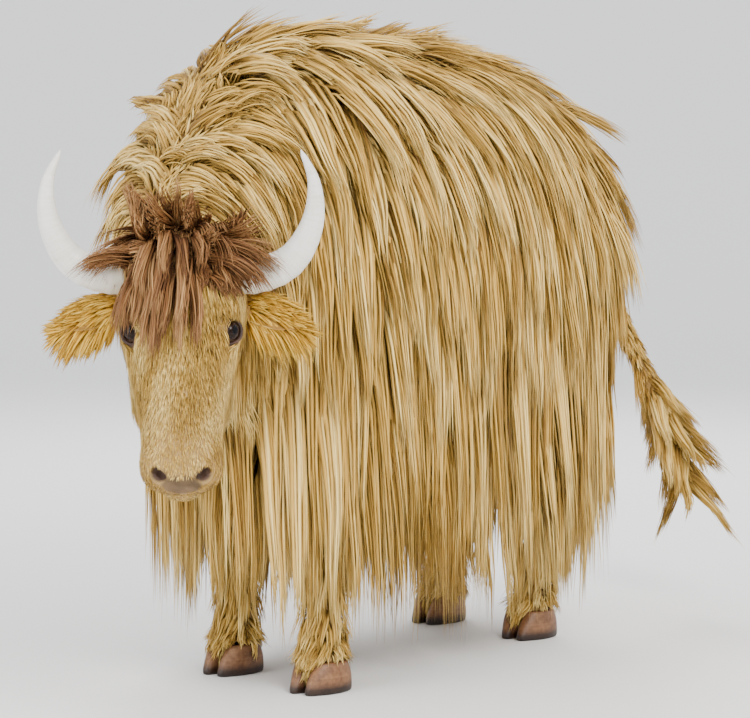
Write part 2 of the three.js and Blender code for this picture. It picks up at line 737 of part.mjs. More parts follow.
// A solid as a named mesh in a group, with its vertices in that group's own frame.
function addNode(group, name, solid, material) {
  const kept = largest(solid).getMesh();
  const geometry = new THREE.BufferGeometry();
  const count = kept.numVert;
  const xyz = new Float32Array(count * 3);
  for (let i = 0; i < count; i++) {
    xyz.set(kept.vertProperties.subarray(i * kept.numProp, i * kept.numProp + 3), i * 3);
  }
  geometry.setAttribute("position", new THREE.BufferAttribute(xyz, 3));
  geometry.setIndex(new THREE.BufferAttribute(new Uint32Array(kept.triVerts), 1));
  group.updateMatrixWorld(true);
  geometry.applyMatrix4(group.matrixWorld.clone().invert());
  geometry.computeVertexNormals();
  const mesh = new THREE.Mesh(geometry, material);
  mesh.name = name;
  group.add(mesh);
  return mesh;
}

const CORE_GROWTH = 12; // how far the solid core stands beyond the skin between the locks
const trunkCore = (grow = 0) => trunk.solid(16, 1, CORE_GROWTH + grow);
const neckCore = (grow = 0) => neck.solid(12, 1, CORE_GROWTH + grow);
const skullGrown = skullForms(GAP);
const hornsAndEars = (grow) => [1, -1].flatMap((side) => [hornSolid(side, grow), earSolid(side, grow)]);
const eyePlace = (side) => [EYE_PLACE[0], side * EYE_PLACE[1], EYE_PLACE[2]];
const eyesAndLids = [1, -1].map((side) => blob(eyePlace(side), [44, 44, 44]));
const claws = legPlan.flatMap((leg) =>
  [-1, 1].map((way) => {
    const side = way * Math.sign(leg.y);
    return { name: `claw_${leg.name}_${way < 0 ? "inner" : "outer"}`, leg, form: clawForm(leg, side) };
  }),
);

// Each node is its core and its locks, less what its neighbours fill.
function coated(core, coreTools, locks, lockTools) {
  return fuse([cut(core, coreTools), cut(hair(locks), lockTools)]);
}

const tailGrown = tailSolid(GAP);
const headHair = hair(headLocks, GAP);
const legHair = legPlan.map((leg) => hair(leg.locks, GAP));
const legGrown = legPlan.map((leg) => leg.form.solid(10, 1, GAP));
const clawGrown = claws.map((claw) => claw.form.solid(8, 1, GAP));
const upper = [skullGrown, ...hornsAndEars(GAP), headHair];

const torsoTools = [...legGrown, ...legHair, tailGrown, ...upper];
addNode(yak, "torso", coated(trunkCore(), [], torsoLocks, torsoTools), materials.coat);
const torsoHair = hair(torsoLocks, GAP);
const neckTools = [trunkCore(GAP), torsoHair, ...upper];
addNode(yak, "neck", coated(neckCore(), neckTools, neckLocks, neckTools), materials.coat);
const headTools = [...hornsAndEars(GAP), ...eyesAndLids];
addNode(head, "head", fuse([headSolid(), cut(hair(headLocks), headTools)]), materials.coat);
for (const [name, side] of [["left", 1], ["right", -1]]) {
  addNode(head, `eye_${name}`, eyeSolid(side, EYE_RADIUS), materials.eye);
  addNode(head, `horn_${name}`, cut(hornSolid(side), [skullGrown]), materials.horn);
  addNode(head, `ear_${name}`, cut(earSolid(side), [skullGrown]), materials.ear);
}
for (const [i, leg] of legPlan.entries()) {
  const tools = [trunkCore(GAP), ...clawGrown];
  const solid = coated(leg.form.solid(10, 1), [trunkCore(GAP)], leg.locks, tools);
  addNode(yak, `leg_${leg.name}`, solid, materials.coat);
}
for (const claw of claws) {
  const tools = [legGrown[legPlan.indexOf(claw.leg)]];
  addNode(yak, claw.name, cut(claw.form.solid(8, 1), tools), materials.hoof);
}
addNode(yak, "tail", cut(tailSolid(), [trunkCore(GAP)]), materials.coat);
const switchTools = [tailGrown, trunkCore(GAP), torsoHair];
addNode(yak, "tail_switch", coated(switchSolid(), switchTools, switchLocks, switchTools), materials.coat);

// The origin is the bottom centre of the whole.
yak.updateMatrixWorld(true);
const reach = new THREE.Box3().setFromObject(yak, true);
const middle = reach.getCenter(vec(0, 0, 0));
yak.position.set(-middle.x, -middle.y, -reach.min.z);

export default yak;
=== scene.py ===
"""A life-size long-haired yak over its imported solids: skin, coat, horns, hooves, eyes, light and camera.

Shapes are worked out in the solids' own frame, in millimetres, and moved into the row frame by place().
"""

import math
from itertools import product

import bpy
import numpy as np
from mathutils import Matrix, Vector
from mathutils.bvhtree import BVHTree
from mathutils.kdtree import KDTree


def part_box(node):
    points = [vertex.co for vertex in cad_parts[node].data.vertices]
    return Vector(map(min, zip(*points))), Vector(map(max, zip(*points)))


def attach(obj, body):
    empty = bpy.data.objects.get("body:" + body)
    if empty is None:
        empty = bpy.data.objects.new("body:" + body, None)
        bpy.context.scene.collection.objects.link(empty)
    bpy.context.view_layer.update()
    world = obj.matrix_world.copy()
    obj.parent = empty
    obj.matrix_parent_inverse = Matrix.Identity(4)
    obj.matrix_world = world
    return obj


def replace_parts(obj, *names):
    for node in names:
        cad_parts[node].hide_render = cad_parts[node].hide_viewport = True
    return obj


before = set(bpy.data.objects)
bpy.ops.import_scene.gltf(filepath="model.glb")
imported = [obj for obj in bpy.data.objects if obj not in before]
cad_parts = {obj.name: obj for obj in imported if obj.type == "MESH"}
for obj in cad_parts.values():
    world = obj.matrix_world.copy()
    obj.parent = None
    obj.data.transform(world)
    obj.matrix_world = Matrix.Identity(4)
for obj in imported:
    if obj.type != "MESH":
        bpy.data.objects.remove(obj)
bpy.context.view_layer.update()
rng = np.random.default_rng(12)

MM = 0.001
DOWN = np.array([0.0, 0.0, -1.0])
SIDES = {1: "left", -1: "right"}

# Named sizes, as in the solids
BELLY = 560
SKIRT_HEM = 180
FRONT_FEET_X, FRONT_FEET_Y = 415, 154
HIND_FEET_X, HIND_FEET_Y = -450, 160
CLAW_HEIGHT = 72
CLAW_SPREAD = 34
CLAW_TOE_OUT = 4
CORONET = 66
HEAD_TURN = 40
HEAD_DROP = 58
HEAD_PLACE = (908, 150, 985)
EAR_LENGTH = 172
EYE_RADIUS = 30
EYE_PLACE = (152, 95, 47)
EYE_WAY = (0.22, 0.66, 0.72)
NOSTRIL_PLACE = (470, 40, 16)
MOUTH_LEVEL = -56
MOUTH_CORNER = 345

# Sizes of the skin and the coat
BALL_SIDES, BALL_ROWS = 28, 18
HEAD_VOXEL, FACE_VOXEL, BODY_VOXEL = 4.5, 3.2, 10.5
SUNK = 5
SLIT_REACH, SLIT_RISE = 1.06 * EYE_RADIUS, 0.68 * EYE_RADIUS
SAMPLE_COUNT = 340000
EAR_TUFTS = 1500
PIECE_TRIANGLES = 190000
TUFT_FLATNESS = 0.42
TUFT_PATCH = 0.003
LOCK_ROOT_DEPTH, FUR_ROOT_DEPTH = 4, 2
STRAND_LENGTH, STRAND_SHIFT = 60, 9
UNWRAP_DEGREES, UNWRAP_RADIANS = 375, 6.6
TOP_OF_HAIR = 1552
LOOSE_LIFT, LOOSE_THICKNESS = 113, 46


# Vectors

def norm(v):
    return np.linalg.norm(v, axis=-1)


def unit(v):
    v = np.asarray(v, float)
    return v / np.maximum(norm(v)[..., None], 1e-9)


def stacked(*columns):
    return np.stack(np.broadcast_arrays(*columns), -1)


def frame_of(origin, x_axis, z_hint):
    x = unit(x_axis)
    y = unit(np.cross(z_hint, x))
    m = np.eye(4)
    m[:3, 0], m[:3, 1], m[:3, 2], m[:3, 3] = x, y, np.cross(x, y), origin
    return m


def through(m, p):
    return np.asarray(p, float) @ m[:3, :3].T + m[:3, 3]


def turn(m, v):
    return np.asarray(v, float) @ m[:3, :3].T


def spun(axis, angle):
    """A turn about one of the three axes."""
    i, j = ((1, 2), (2, 0), (0, 1))[axis]
    m = np.eye(3)
    m[i, i] = m[j, j] = math.cos(angle)
    m[j, i], m[i, j] = math.sin(angle), -math.sin(angle)
    return m


def mirrored(p, side):
    """A place or a way in the head's frame, on the left side for 1 and on the right for -1."""
    return [p[0], side * p[1], p[2]]


def mix(a, b, t):
    return a + (b - a) * t


def ease(low, high, x):
    t = np.clip((np.asarray(x, float) - low) / (high - low), 0, 1)
    return t * t * (3 - 2 * t)


def bend(v, power):
    return np.sign(v) * np.abs(v) ** (2 / power)


def hermite(a, b, slope_a, slope_b, t, span=1.0):
    """A cubic from a to b over a span, with its slopes at both."""
    start = (2 * t**3 - 3 * t**2 + 1) * a + (t**3 - 2 * t**2 + t) * span * slope_a
    return start + ((3 * t**2 - 2 * t**3) * b + (t**3 - t**2) * span * slope_b)


def fitted(values):
    """Values spread over most of an unwrap's side."""
    low, high = values.min(), values.max()
    return 0.02 + 0.96 * (values - low) / max(high - low, 1e-6)


# Body forms

class Form:
    """Oval sections at stations along a frame's x axis. A key is (at, top, base, half[, mid])."""

    def __init__(self, frame, keys, power=2.2):
        self.frame, self.inverse, self.power = frame, np.linalg.inv(frame), power
        self.at = np.array([k[0] for k in keys], float)
        self.rows = np.array([(*k[1:4], k[4] if len(k) > 4 else (k[1] + k[2]) / 2) for k in keys], float)
        low = np.maximum(np.arange(len(keys)) - 1, 0)
        high = np.minimum(np.arange(len(keys)) + 1, len(keys) - 1)
        self.slopes = (self.rows[high] - self.rows[low]) / (self.at[high] - self.at[low])[:, None]

    def section(self, at):
        """Top, base, half-width and middle at stations."""
        at = np.asarray(at, float)
        i = np.clip(np.searchsorted(self.at, at, "left") - 1, 0, len(self.at) - 2)
        span = (self.at[i + 1] - self.at[i])[..., None]
        t = np.clip((at - self.at[i])[..., None] / span, 0, 1)
        rows = hermite(self.rows[i], self.rows[i + 1], self.slopes[i], self.slopes[i + 1], t, span)
        return np.moveaxis(rows, -1, 0)

    def spot(self, at, degrees, grow=0.0):
        top, base, half, mid = self.section(at)
        a = np.radians(degrees)
        rise = bend(np.cos(a), self.power)
        tall = np.where(rise > 0, top - mid, mid - base) + grow
        aside = (half + grow) * bend(np.sin(a), self.power)
        return through(self.frame, stacked(at, aside, mid + rise * tall))

    def local(self, p):
        """Points' stations, offsets aside and up, and the section's half-width and reach that way."""
        at, aside, up = np.moveaxis(through(self.inverse, p), -1, 0)
        top, base, half, mid = self.section(np.clip(at, self.at[0], self.at[-1]))
        up = up - mid
        return at, aside, up, half, np.where(up > 0, top - mid, mid - base)

    def height(self, p):
        """How far points lie above the surface."""
        at, aside, up, half, tall = self.local(p)
        share = np.abs(aside / half) ** self.power + np.abs(up / tall) ** self.power
        side = np.hypot(aside, up) * (1 - 1 / np.maximum(share ** (1 / self.power), 1e-3))
        end = np.maximum(self.at[0] - at, at - self.at[-1])
        return np.where(end > 0, np.hypot(np.maximum(side, 0), end), np.maximum(side, end))

    def rings(self, sides, per_key, grow=0.0):
        pairs = zip(self.at[:-1], self.at[1:])
        stations = [np.linspace(a, b, per_key, endpoint=False) for a, b in pairs] + [self.at[-1:]]
        return self.spot(np.concatenate(stations)[:, None], np.arange(sides) * 360.0 / sides, grow)

    def around(self, p):
        """The signed angle of points in degrees round the form from its top, and their station."""
        at, aside, up, half, tall = self.local(p)
        power = 4 / self.power
        return np.degrees(np.arctan2(bend(aside / half, power), bend(up / tall, power))), at

    def patch(self, p):
        """Where points lie in an unwrap of the form."""
        angle, at = self.around(p)
        return stacked(fitted(at), 0.5 + angle / UNWRAP_DEGREES)


def facing(height, p, step=5.0):
    rise = [height(p + step * axis) - height(p - step * axis) for axis in np.eye(3)]
    return unit(np.stack(rise, -1))


class Curve:
    """A smooth curve through points, with its points and tangents by share of its length."""

    def __init__(self, points, detail=24):
        p = np.asarray(points, float)
        p = np.vstack([2 * p[0] - p[1], p, 2 * p[-1] - p[-2]])
        t = np.linspace(0, 1, detail, endpoint=False)[:, None]
        out = []
        for a, b, c, d in zip(p[:-3], p[1:-2], p[2:-1], p[3:]):
            ab, bc, cd = (norm(v) ** 0.5 for v in (b - a, c - b, d - c))
            t1 = ((b - a) / ab - (c - a) / (ab + bc) + (c - b) / bc) * bc
            t2 = ((c - b) / bc - (d - b) / (bc + cd) + (d - c) / cd) * bc
            out.append(hermite(b, c, t1, t2, t))
        self.points = np.vstack(out + [p[-2:-1]])
        steps = norm(np.diff(self.points, axis=0))
        self.share = np.r_[0, np.cumsum(steps)] / steps.sum()

    def at(self, s):
        return np.stack([np.interp(s, self.share, self.points[:, i]) for i in range(3)], -1)

    def way(self, s):
        s = np.asarray(s, float)
        return unit(self.at(np.minimum(s + 0.01, 1)) - self.at(np.maximum(s - 0.01, 0)))


def sweep_rings(curve, size, steps, sides, rise_hint):
    """Rings of a tube along a curve. size(s) gives its radius, or its half-width and reach up and down."""
    s = np.linspace(0, 1, steps + 1)
    along = curve.way(s)
    across = unit(np.cross(rise_hint, along))
    rise = np.cross(along, across)
    half, up, down = np.broadcast_to(size(s), (3, len(s)))[..., None]
    a = np.arange(sides) * 2 * math.pi / sides
    sine, cosine = bend(np.sin(a), 2), bend(np.cos(a), 2)
    tall = np.where(cosine >= 0, up, down)
    aside = across[:, None] * (half * sine)[..., None]
    return curve.at(s)[:, None] + aside + rise[:, None] * (tall * cosine)[..., None]


class Strand:
    """A round-sectioned form along a curve."""

    def __init__(self, curve, radius):
        self.curve, self.radius = curve, radius

    def height(self, p):
        s = np.linspace(0, 1, 40)
        return (norm(p[..., None, :] - self.curve.at(s)) - self.radius(s)).min(-1)

    def share(self, p, count):
        """The share of the curve's length nearest to points, out of count shares."""
        shares = np.linspace(0, 1, count)
        return shares[norm(p[:, None] - self.curve.at(shares)).argmin(1)]

    def patch(self, p):
        """Where points lie in an unwrap of the form."""
        s = self.share(p, 200)
        off = p - self.curve.at(s)
        return stacked(fitted(s), 0.5 + np.arctan2(off[:, 1], off[:, 0]) / UNWRAP_RADIANS)


# Trunk, neck, head and legs

trunk = Form(
    np.eye(4),
    [
        (-728, 1150, 900, 92), (-682, 1246, 760, 208), (-585, 1346, 640, 298), (-410, 1436, 585, 354),
        (-200, 1490, BELLY + 5, 376), (30, 1514, BELLY, 384), (220, 1526, BELLY + 5, 370),
        (385, 1522, 585, 338), (520, 1468, 635, 292), (630, 1360, 715, 225), (692, 1228, 830, 115),
    ],
    2.3,
)
neck_from, neck_to = np.array([540, 0, 1110.0]), np.array([868, 112, 962.0])
neck = Form(
    frame_of(neck_from, neck_to - neck_from, [0, 0, 1]),
    [
        (-40, 300, -320, 255), (90, 262, -300, 225), (190, 215, -270, 182), (280, 165, -222, 142),
        (372, 128, -165, 112),
    ],
)
turned = np.array([math.cos(math.radians(HEAD_TURN)), math.sin(math.radians(HEAD_TURN)), 0.0])
face_down = turned * math.cos(math.radians(HEAD_DROP)) + DOWN * math.sin(math.radians(HEAD_DROP))
head_frame = frame_of(np.array(HEAD_PLACE, float), face_down, turned)
head_inverse = np.linalg.inv(head_frame)
up_in_head = turn(head_inverse, [0, 0, 1])


def in_head(x, y, z):
    """The place, in the solids' frame, of one given in the head's frame."""
    return through(head_frame, stacked(x, y, z))


def head_way(x, y, z):
    return turn(head_frame, stacked(x, y, z))


skull = Form(
    head_frame,
    [
        (-108, 38, -60, 54), (-70, 90, -118, 106), (0, 112, -152, 130), (75, 116, -164, 136, 0),
        (150, 108, -162, 126, 0), (238, 88, -150, 107, -8), (324, 70, -128, 92, -14),
        (400, 60, -108, 88, -16), (446, 54, -98, 92, -14), (478, 32, -80, 78, -16), (492, 2, -52, 46, -22),
    ],
    2.3,
)
FRONT_LEG = [
    (CORONET, 66, -52, 60), (96, 46, -44, 43), (128, 46, -48, 45), (170, 38, -40, 37), (260, 40, -40, 38),
    (335, 56, -48, 52), (400, 56, -56, 54), (500, 74, -80, 66), (680, 105, -120, 88),
]
HIND_LEG = [
    (CORONET, 66, -52, 60), (96, 42, -50, 43), (130, 34, -62, 45), (180, 18, -66, 37), (300, -8, -94, 40),
    (400, -18, -132, 52), (450, 0, -136, 58), (540, 90, -110, 76), (700, 165, -110, 96),
]


def upright(x, y):
    return frame_of(np.array([x, y, 0.0]), [0, 0, 1], [1, 0, 0])


legs = {
    "front_left": (FRONT_FEET_X, FRONT_FEET_Y, FRONT_LEG),
    "front_right": (FRONT_FEET_X - 50, -FRONT_FEET_Y, FRONT_LEG),
    "hind_left": (HIND_FEET_X, HIND_FEET_Y, HIND_LEG),
    "hind_right": (HIND_FEET_X - 45, -HIND_FEET_Y, HIND_LEG),
}
leg_forms = {name: Form(upright(x, y), keys, 2) for name, (x, y, keys) in legs.items()}
tail = Strand(
    Curve([(-690, 0, 1170), (-798, 18, 1098), (-884, 62, 935), (-955, 124, 755), (-1008, 172, 615)]),
    lambda s: mix(33, 17, s),
)
switch = Strand(
    Curve([(-986, 152, 675), (-1026, 190, 560), (-1060, 226, 445), (-1084, 256, 320)]),
    lambda s: 14 + 16 * np.sin(math.pi * s**0.8),
)


# Across, rise and forward, from the horn's base
HORN_POINTS = [(-25, -2, -4), (66, -20, 0), (144, 4, 12), (192, 76, 30), (196, 160, 38), (168, 236, 28)]


def horn_curve(side):
    points = [
        np.array([-8, side * (90 + across), 50.0]) + up_in_head * rise + [0, 0, forward]
        for across, rise, forward in HORN_POINTS
    ]
    return Curve(through(head_frame, points))


def ear_frame(side):
    """The way an ear points and the way it opens, in the head's frame."""
    return unit(np.array([0.1, side, 0]) - 0.2 * up_in_head), np.array([0.15, side * 0.1, 1])


def ear_curve(side, lift=0.0):
    along, opens = ear_frame(side)
    root = np.array([48, side * 106, -24.0])
    points = [
        root + along * share * EAR_LENGTH + opens * lift + up_in_head * sag
        for share, sag in [(0, 0), (0.35, 6), (0.7, 2), (1, -12)]
    ]
    return Curve(through(head_frame, points))


ears = {side: Strand(ear_curve(side), lambda s: 0 * s) for side in SIDES}
eye_places = {side: in_head(*mirrored(EYE_PLACE, side)) for side in SIDES}

# The row frame's origin: the solid of the left eye is centred on its named place.
low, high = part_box("eye_left")
SHIFT = np.array((low + high) / 2) - eye_places[1] * MM


def place(p):
    return np.asarray(p, float) * MM + SHIFT


def back(p):
    return (np.asarray(p, float) - SHIFT) / MM


# Meshes

def linked(name, data):
    obj = bpy.data.objects.new(name, data)
    bpy.context.scene.collection.objects.link(obj)
    return obj


def mesh_object(name, verts, faces):
    mesh = bpy.data.meshes.new(name)
    mesh.from_pydata(verts.tolist(), [], faces)
    mesh.polygons.foreach_set("use_smooth", [True] * len(mesh.polygons))
    mesh.update()
    return linked(name, mesh)


def ring_faces(count, sides):
    faces = []
    for r in range(0, (count - 1) * sides, sides):
        for i in range(sides):
            j = (i + 1) % sides
            faces.append((r + i, r + sides + i, r + sides + j, r + j))
    start, end, last = count * sides, count * sides + 1, (count - 1) * sides
    for i in range(sides):
        j = (i + 1) % sides
        faces += [(start, i, j), (end, last + j, last + i)]
    return faces


def lofted(name, rings, start=None, end=None):
    """A closed tube over rings, in the row frame."""
    count, sides = rings.shape[:2]
    start = rings[0].mean(0) if start is None else start
    end = rings[-1].mean(0) if end is None else end
    verts = np.vstack([rings.reshape(-1, 3), start[None], end[None]])
    return mesh_object(name, place(verts), ring_faces(count, sides))


def ball(at, sizes, turns=(0, 0, 0), side=1):
    """An ellipsoid in the head's frame, mirrored for the right side."""
    u = np.arange(BALL_SIDES) * 2 * math.pi / BALL_SIDES
    v = np.linspace(0, math.pi, BALL_ROWS + 2)[1:-1, None]
    rings = stacked(np.cos(v), np.sin(v) * np.sin(u), np.sin(v) * np.cos(u))[::-1]
    rx, ry, rz = turns
    spin = spun(0, side * rx) @ spun(1, ry) @ spun(2, side * rz)
    shape = lambda p: through(head_frame, (p * sizes) @ spin.T + np.array(mirrored(at, side), float))
    return lofted("ball", shape(rings), shape(np.array([-1.0, 0, 0])), shape(np.array([1.0, 0, 0])))


def applied(obj):
    """Makes the object's modifiers part of its mesh."""
    graph = bpy.context.evaluated_depsgraph_get()
    mesh = bpy.data.meshes.new_from_object(obj.evaluated_get(graph))
    obj.modifiers.clear()
    old, obj.data = obj.data, mesh
    bpy.data.meshes.remove(old)
    return obj


def read(items, key, width, kind=np.float32):
    values = np.empty(len(items) * width, kind)
    items.foreach_get(key, values)
    return values.reshape(-1, width)


def coordinates(obj):
    return read(obj.data.vertices, "co", 3).astype(float)


def merged(objects, voxel):
    """One closed mesh round all the objects, which it takes up."""
    verts, faces, base = [], [], 0
    for obj in objects:
        co = coordinates(obj)
        verts.append(co)
        faces += [tuple(base + i for i in face.vertices) for face in obj.data.polygons]
        base += len(co)
        bpy.data.objects.remove(obj)
    whole = mesh_object("merged", np.vstack(verts), faces)
    modifier = whole.modifiers.new("remesh", "REMESH")
    modifier.mode = "VOXEL"
    modifier.voxel_size = voxel * MM
    return applied(whole)


def combined(obj, tool, operation="DIFFERENCE"):
    modifier = obj.modifiers.new("combine", "BOOLEAN")
    modifier.operation = operation
    modifier.solver = "MANIFOLD"
    modifier.object = tool
    before = len(obj.data.polygons)
    applied(obj)
    if len(obj.data.polygons) < 0.2 * before:
        raise RuntimeError(f"{operation} of {tool.name} emptied {obj.name}")
    bpy.data.objects.remove(tool)


def relaxed(obj, times, weight=1.0):
    """Smooths the mesh, each vertex by its weight."""
    edges = read(obj.data.edges, "vertices", 2, np.int32)
    co = coordinates(obj)
    count = np.maximum(np.bincount(edges.ravel(), minlength=len(co)), 1)
    total_at = lambda end, axis: np.bincount(edges[:, end], co[edges[:, 1 - end], axis], len(co))
    for _ in range(times):
        total = np.stack([total_at(0, axis) + total_at(1, axis) for axis in range(3)], 1)
        co += (total / count[:, None] - co) * 0.5 * np.reshape(weight, (-1, 1))
    obj.data.vertices.foreach_set("co", np.asarray(co, np.float32).ravel())
    obj.data.update()


# Skin

def almond(grow=0.0):
    """The edge of the lids' opening, as offsets along the slit and across it."""
    upper = [(-1.06, 0), (-0.64, 0.5), (-0.08, 0.74), (0.52, 0.6), (1.06, 0.08)]
    lower = [(1.06, 0.08), (0.56, -0.46), (0, -0.62), (-0.6, -0.4), (-1.06, 0)]
    lids = [Curve([(x * EYE_RADIUS, y * EYE_RADIUS, 0) for x, y in lid]) for lid in (upper, lower)]
    edge = np.vstack([lid.at(np.linspace(0, 1, 20))[:-1, :2] for lid in lids])
    return edge + unit(edge) * grow


def eye_axes(side):
    out = unit(head_way(*mirrored(EYE_WAY, side)))
    rise = unit(np.cross(out, head_way(1, side * -0.15, 0))) * side
    return unit(np.cross(rise, out)) * side, rise, out


def over_eye(side, edge, depth):
    """Places from offsets along the slit and across it, and from depths out of the eye's middle."""
    along, rise, out = eye_axes(side)
    return eye_places[side] + edge[:, :1] * along + edge[:, 1:] * rise + np.reshape(depth, (-1, 1)) * out


def eye_share(p, along_room, rise_room):
    """How far points lie from the middle of the nearer eye's slit, where 1 is just past its rim."""
    shares = []
    for side, centre in eye_places.items():
        along, rise, _ = eye_axes(side)
        off = p - centre
        share = np.hypot(off @ along / (SLIT_REACH + along_room), off @ rise / (SLIT_RISE + rise_room))
        shares.append(np.where(norm(off) < EYE_RADIUS + 18, share, 9))
    return np.minimum(*shares)


def to_eye(p):
    return np.min([norm(p - centre) for centre in eye_places.values()], 0)


def eye_opening(side):
    edge = almond()[::side]
    steps = [(6, -4), (22, -1), (32, 0.5), (42, 7), (66, 22)]
    rings = [over_eye(side, edge + unit(edge) * grow, depth) for depth, grow in steps]
    return lofted("opening", np.array(rings))


def lid_rims(side):
    """The thick edges of the lids, on the ball of the eye."""
    edge = almond(2.5)
    edge = np.vstack([edge, edge[:1]])
    path = over_eye(side, edge, np.sqrt(np.maximum((EYE_RADIUS + 3.5) ** 2 - (edge**2).sum(1), 60)))
    size = lambda s: 3.6 + 1.6 * np.sin(math.pi * s)
    out = eye_axes(side)[2]
    return [lofted("rim", sweep_rings(Curve(lid), size, 28, 10, out)) for lid in (path[:21], path[19:39])]


def fold(side, points, thick):
    """A soft ridge of skin through points in the head's frame."""
    curve = Curve([in_head(*mirrored(p, side)) for p in points])
    size = lambda s: thick * np.sin(math.pi * np.clip(s, 0.06, 0.94)) ** 0.7
    return lofted("fold", sweep_rings(curve, size, 24, 10, head_way(0, side * 0.7, 0.7)))


def mouth_cut():
    """A thin wedge round the front of the muzzle, as deep as the lips."""
    a = np.radians(mix(-118, 118, np.linspace(0, 1, 40)))
    level = MOUTH_LEVEL + 10 * np.cos(a) ** 2 - 4
    reach = skull.section(np.full(40, MOUTH_CORNER))[2] + 14
    x = MOUTH_CORNER + (512 - MOUTH_CORNER) * np.cos(np.clip(np.abs(a), 0, math.pi / 2)) ** 0.6
    y = reach * bend(np.sin(a), 3.2)
    inner = in_head(mix(MOUTH_CORNER, x, 0.86) - 8, y * 0.76, level + 1)
    outer = in_head(x + 12, y * 1.12, level)
    rise = head_way(0, 0, 1)
    return lofted("mouth", np.stack([inner - rise, outer - 5 * rise, outer + 5 * rise, inner + rise], 1))


# Brow, eye, nostril, lip, jaw, cheek, horn base and ear base on each side, then the middle of the face
PAIRED_FORMS = [
    ((145, 88, 42), (56, 36, 45)),
    ((114, 84, 64), (48, 30, 30), (0, 0, -0.5)),
    (EYE_PLACE, (EYE_RADIUS + 5.5,) * 3),
    (np.add(NOSTRIL_PLACE, (-15, 0, 0)), (30, 28, 27)),
    (np.add(NOSTRIL_PLACE, (-48, 20, -24)), (44, 26, 34)),
    ((205, 62, -100), (116, 40, 50)),
    ((262, 74, -30), (84, 20, 30), (0, 0, -0.12)),
    ((-8, 92, 48), (50, 40, 50)),
    ((52, 104, -26), (36, 26, 34)),
]
MIDDLE_FORMS = [
    ((450, 0, -90), (38, 50, 22)),
    ((474, 0, -34), (22, 46, 20)),
    ((300, 0, 58), (130, 34, 22), (0, 0.16, 0)),
]
FOLDS = [
    ([(106, 76, 87), (138, 85, 89), (171, 90, 79), (195, 93, 63)], 6.5),
    ([(117, 109, 16), (143, 119, 11), (170, 118, 14), (196, 109, 25)], 5),
    ([(198, 104, 45), (216, 96, 34), (240, 88, 22)], 5.5),
]
# The pit of a nostril and its wing: offset from the nostril, sizes and turns
NOSTRIL_CUTS = [
    ((7, 3, 4), (20, 10, 16), (-0.6, 0, 0)),
    ((-4, 14, 9), (12, 14, 7), (-0.8, 0, 0.5)),
]


def head_skin():
    shapes = [lofted("skull", skull.rings(48, 5, -SUNK))]
    for side in SIDES:
        shapes += [ball(*form, side=side) for form in PAIRED_FORMS]
        shapes += [fold(side, points, thick) for points, thick in FOLDS]
    shapes += [ball(*form) for form in MIDDLE_FORMS]
    head = merged(shapes, HEAD_VOXEL)
    relaxed(head, 10)
    for side in SIDES:
        combined(head, ball(EYE_PLACE, (EYE_RADIUS + 0.2,) * 3, side=side))
        combined(head, eye_opening(side))
        for off, sizes, turns in NOSTRIL_CUTS:
            combined(head, ball(np.add(NOSTRIL_PLACE, off), sizes, turns, side))
    combined(head, mouth_cut())
    head = merged([head] + lid_rims(1) + lid_rims(-1), FACE_VOXEL)
    relaxed(head, 3)
    return head


def ear_skin(side):
    opens = turn(head_frame, ear_frame(side)[1])
    leaf = lambda s: np.sin(math.pi * np.clip(s, 0.08, 0.985) ** 0.85)
    deep = lambda s: 0.45 + 0.55 * leaf(s)
    outer = lambda s: (41 * (0.2 + 0.8 * leaf(s)), 13 * deep(s), 15.6 * deep(s))
    inner = lambda s: (32 * leaf(s) + 1, 20 * leaf(s) + 1, 10 * leaf(s) + 1)
    shell = lofted("ear", sweep_rings(ear_curve(side), outer, 40, 32, opens))
    cup = Curve(ear_curve(side, 7).at(np.array([0.24, 0.45, 0.7, 0.94])))
    combined(shell, lofted("cup", sweep_rings(cup, inner, 30, 24, opens)))
    return shell


def body_skin():
    shapes = [lofted("trunk", trunk.rings(64, 5)), lofted("neck", neck.rings(48, 6))]
    shapes += [lofted("leg", form.rings(32, 5, -SUNK)) for form in leg_forms.values()]
    for strand, steps in ((tail, 30), (switch, 24)):
        shapes.append(lofted("tail", sweep_rings(strand.curve, strand.radius, steps, 16, [1, 0, 0])))
    body = merged(shapes, BODY_VOXEL)
    co = back(coordinates(body))
    near_leg = np.min([form.height(co) for form in leg_forms.values()], 0)
    relaxed(body, 24, ease(70, 10, np.abs(trunk.height(co))) * ease(70, 10, np.abs(near_leg)))
    relaxed(body, 4)
    return body


skin = head_skin()
for side in SIDES:
    combined(skin, ear_skin(side), "UNION")
combined(skin, body_skin(), "UNION")
skin.name = "skin"
skin_co = back(coordinates(skin))
relaxed(skin, 12, ease(30, 5, np.abs(neck.height(skin_co))) * ease(30, 5, np.abs(skull.height(skin_co))))
skin.data.polygons.foreach_set("use_smooth", [True] * len(skin.data.polygons))


# Materials

def linear(colour):
    """A colour for a socket, from screen values up to 255. One that has its alpha is left as it is."""
    if len(colour) == 4:
        return colour
    c = np.array(colour, float) / 255
    return tuple(np.where(c <= 0.04045, c / 12.92, ((c + 0.055) / 1.055) ** 2.4)) + (1.0,)


WHITE = (1, 1, 1, 1)


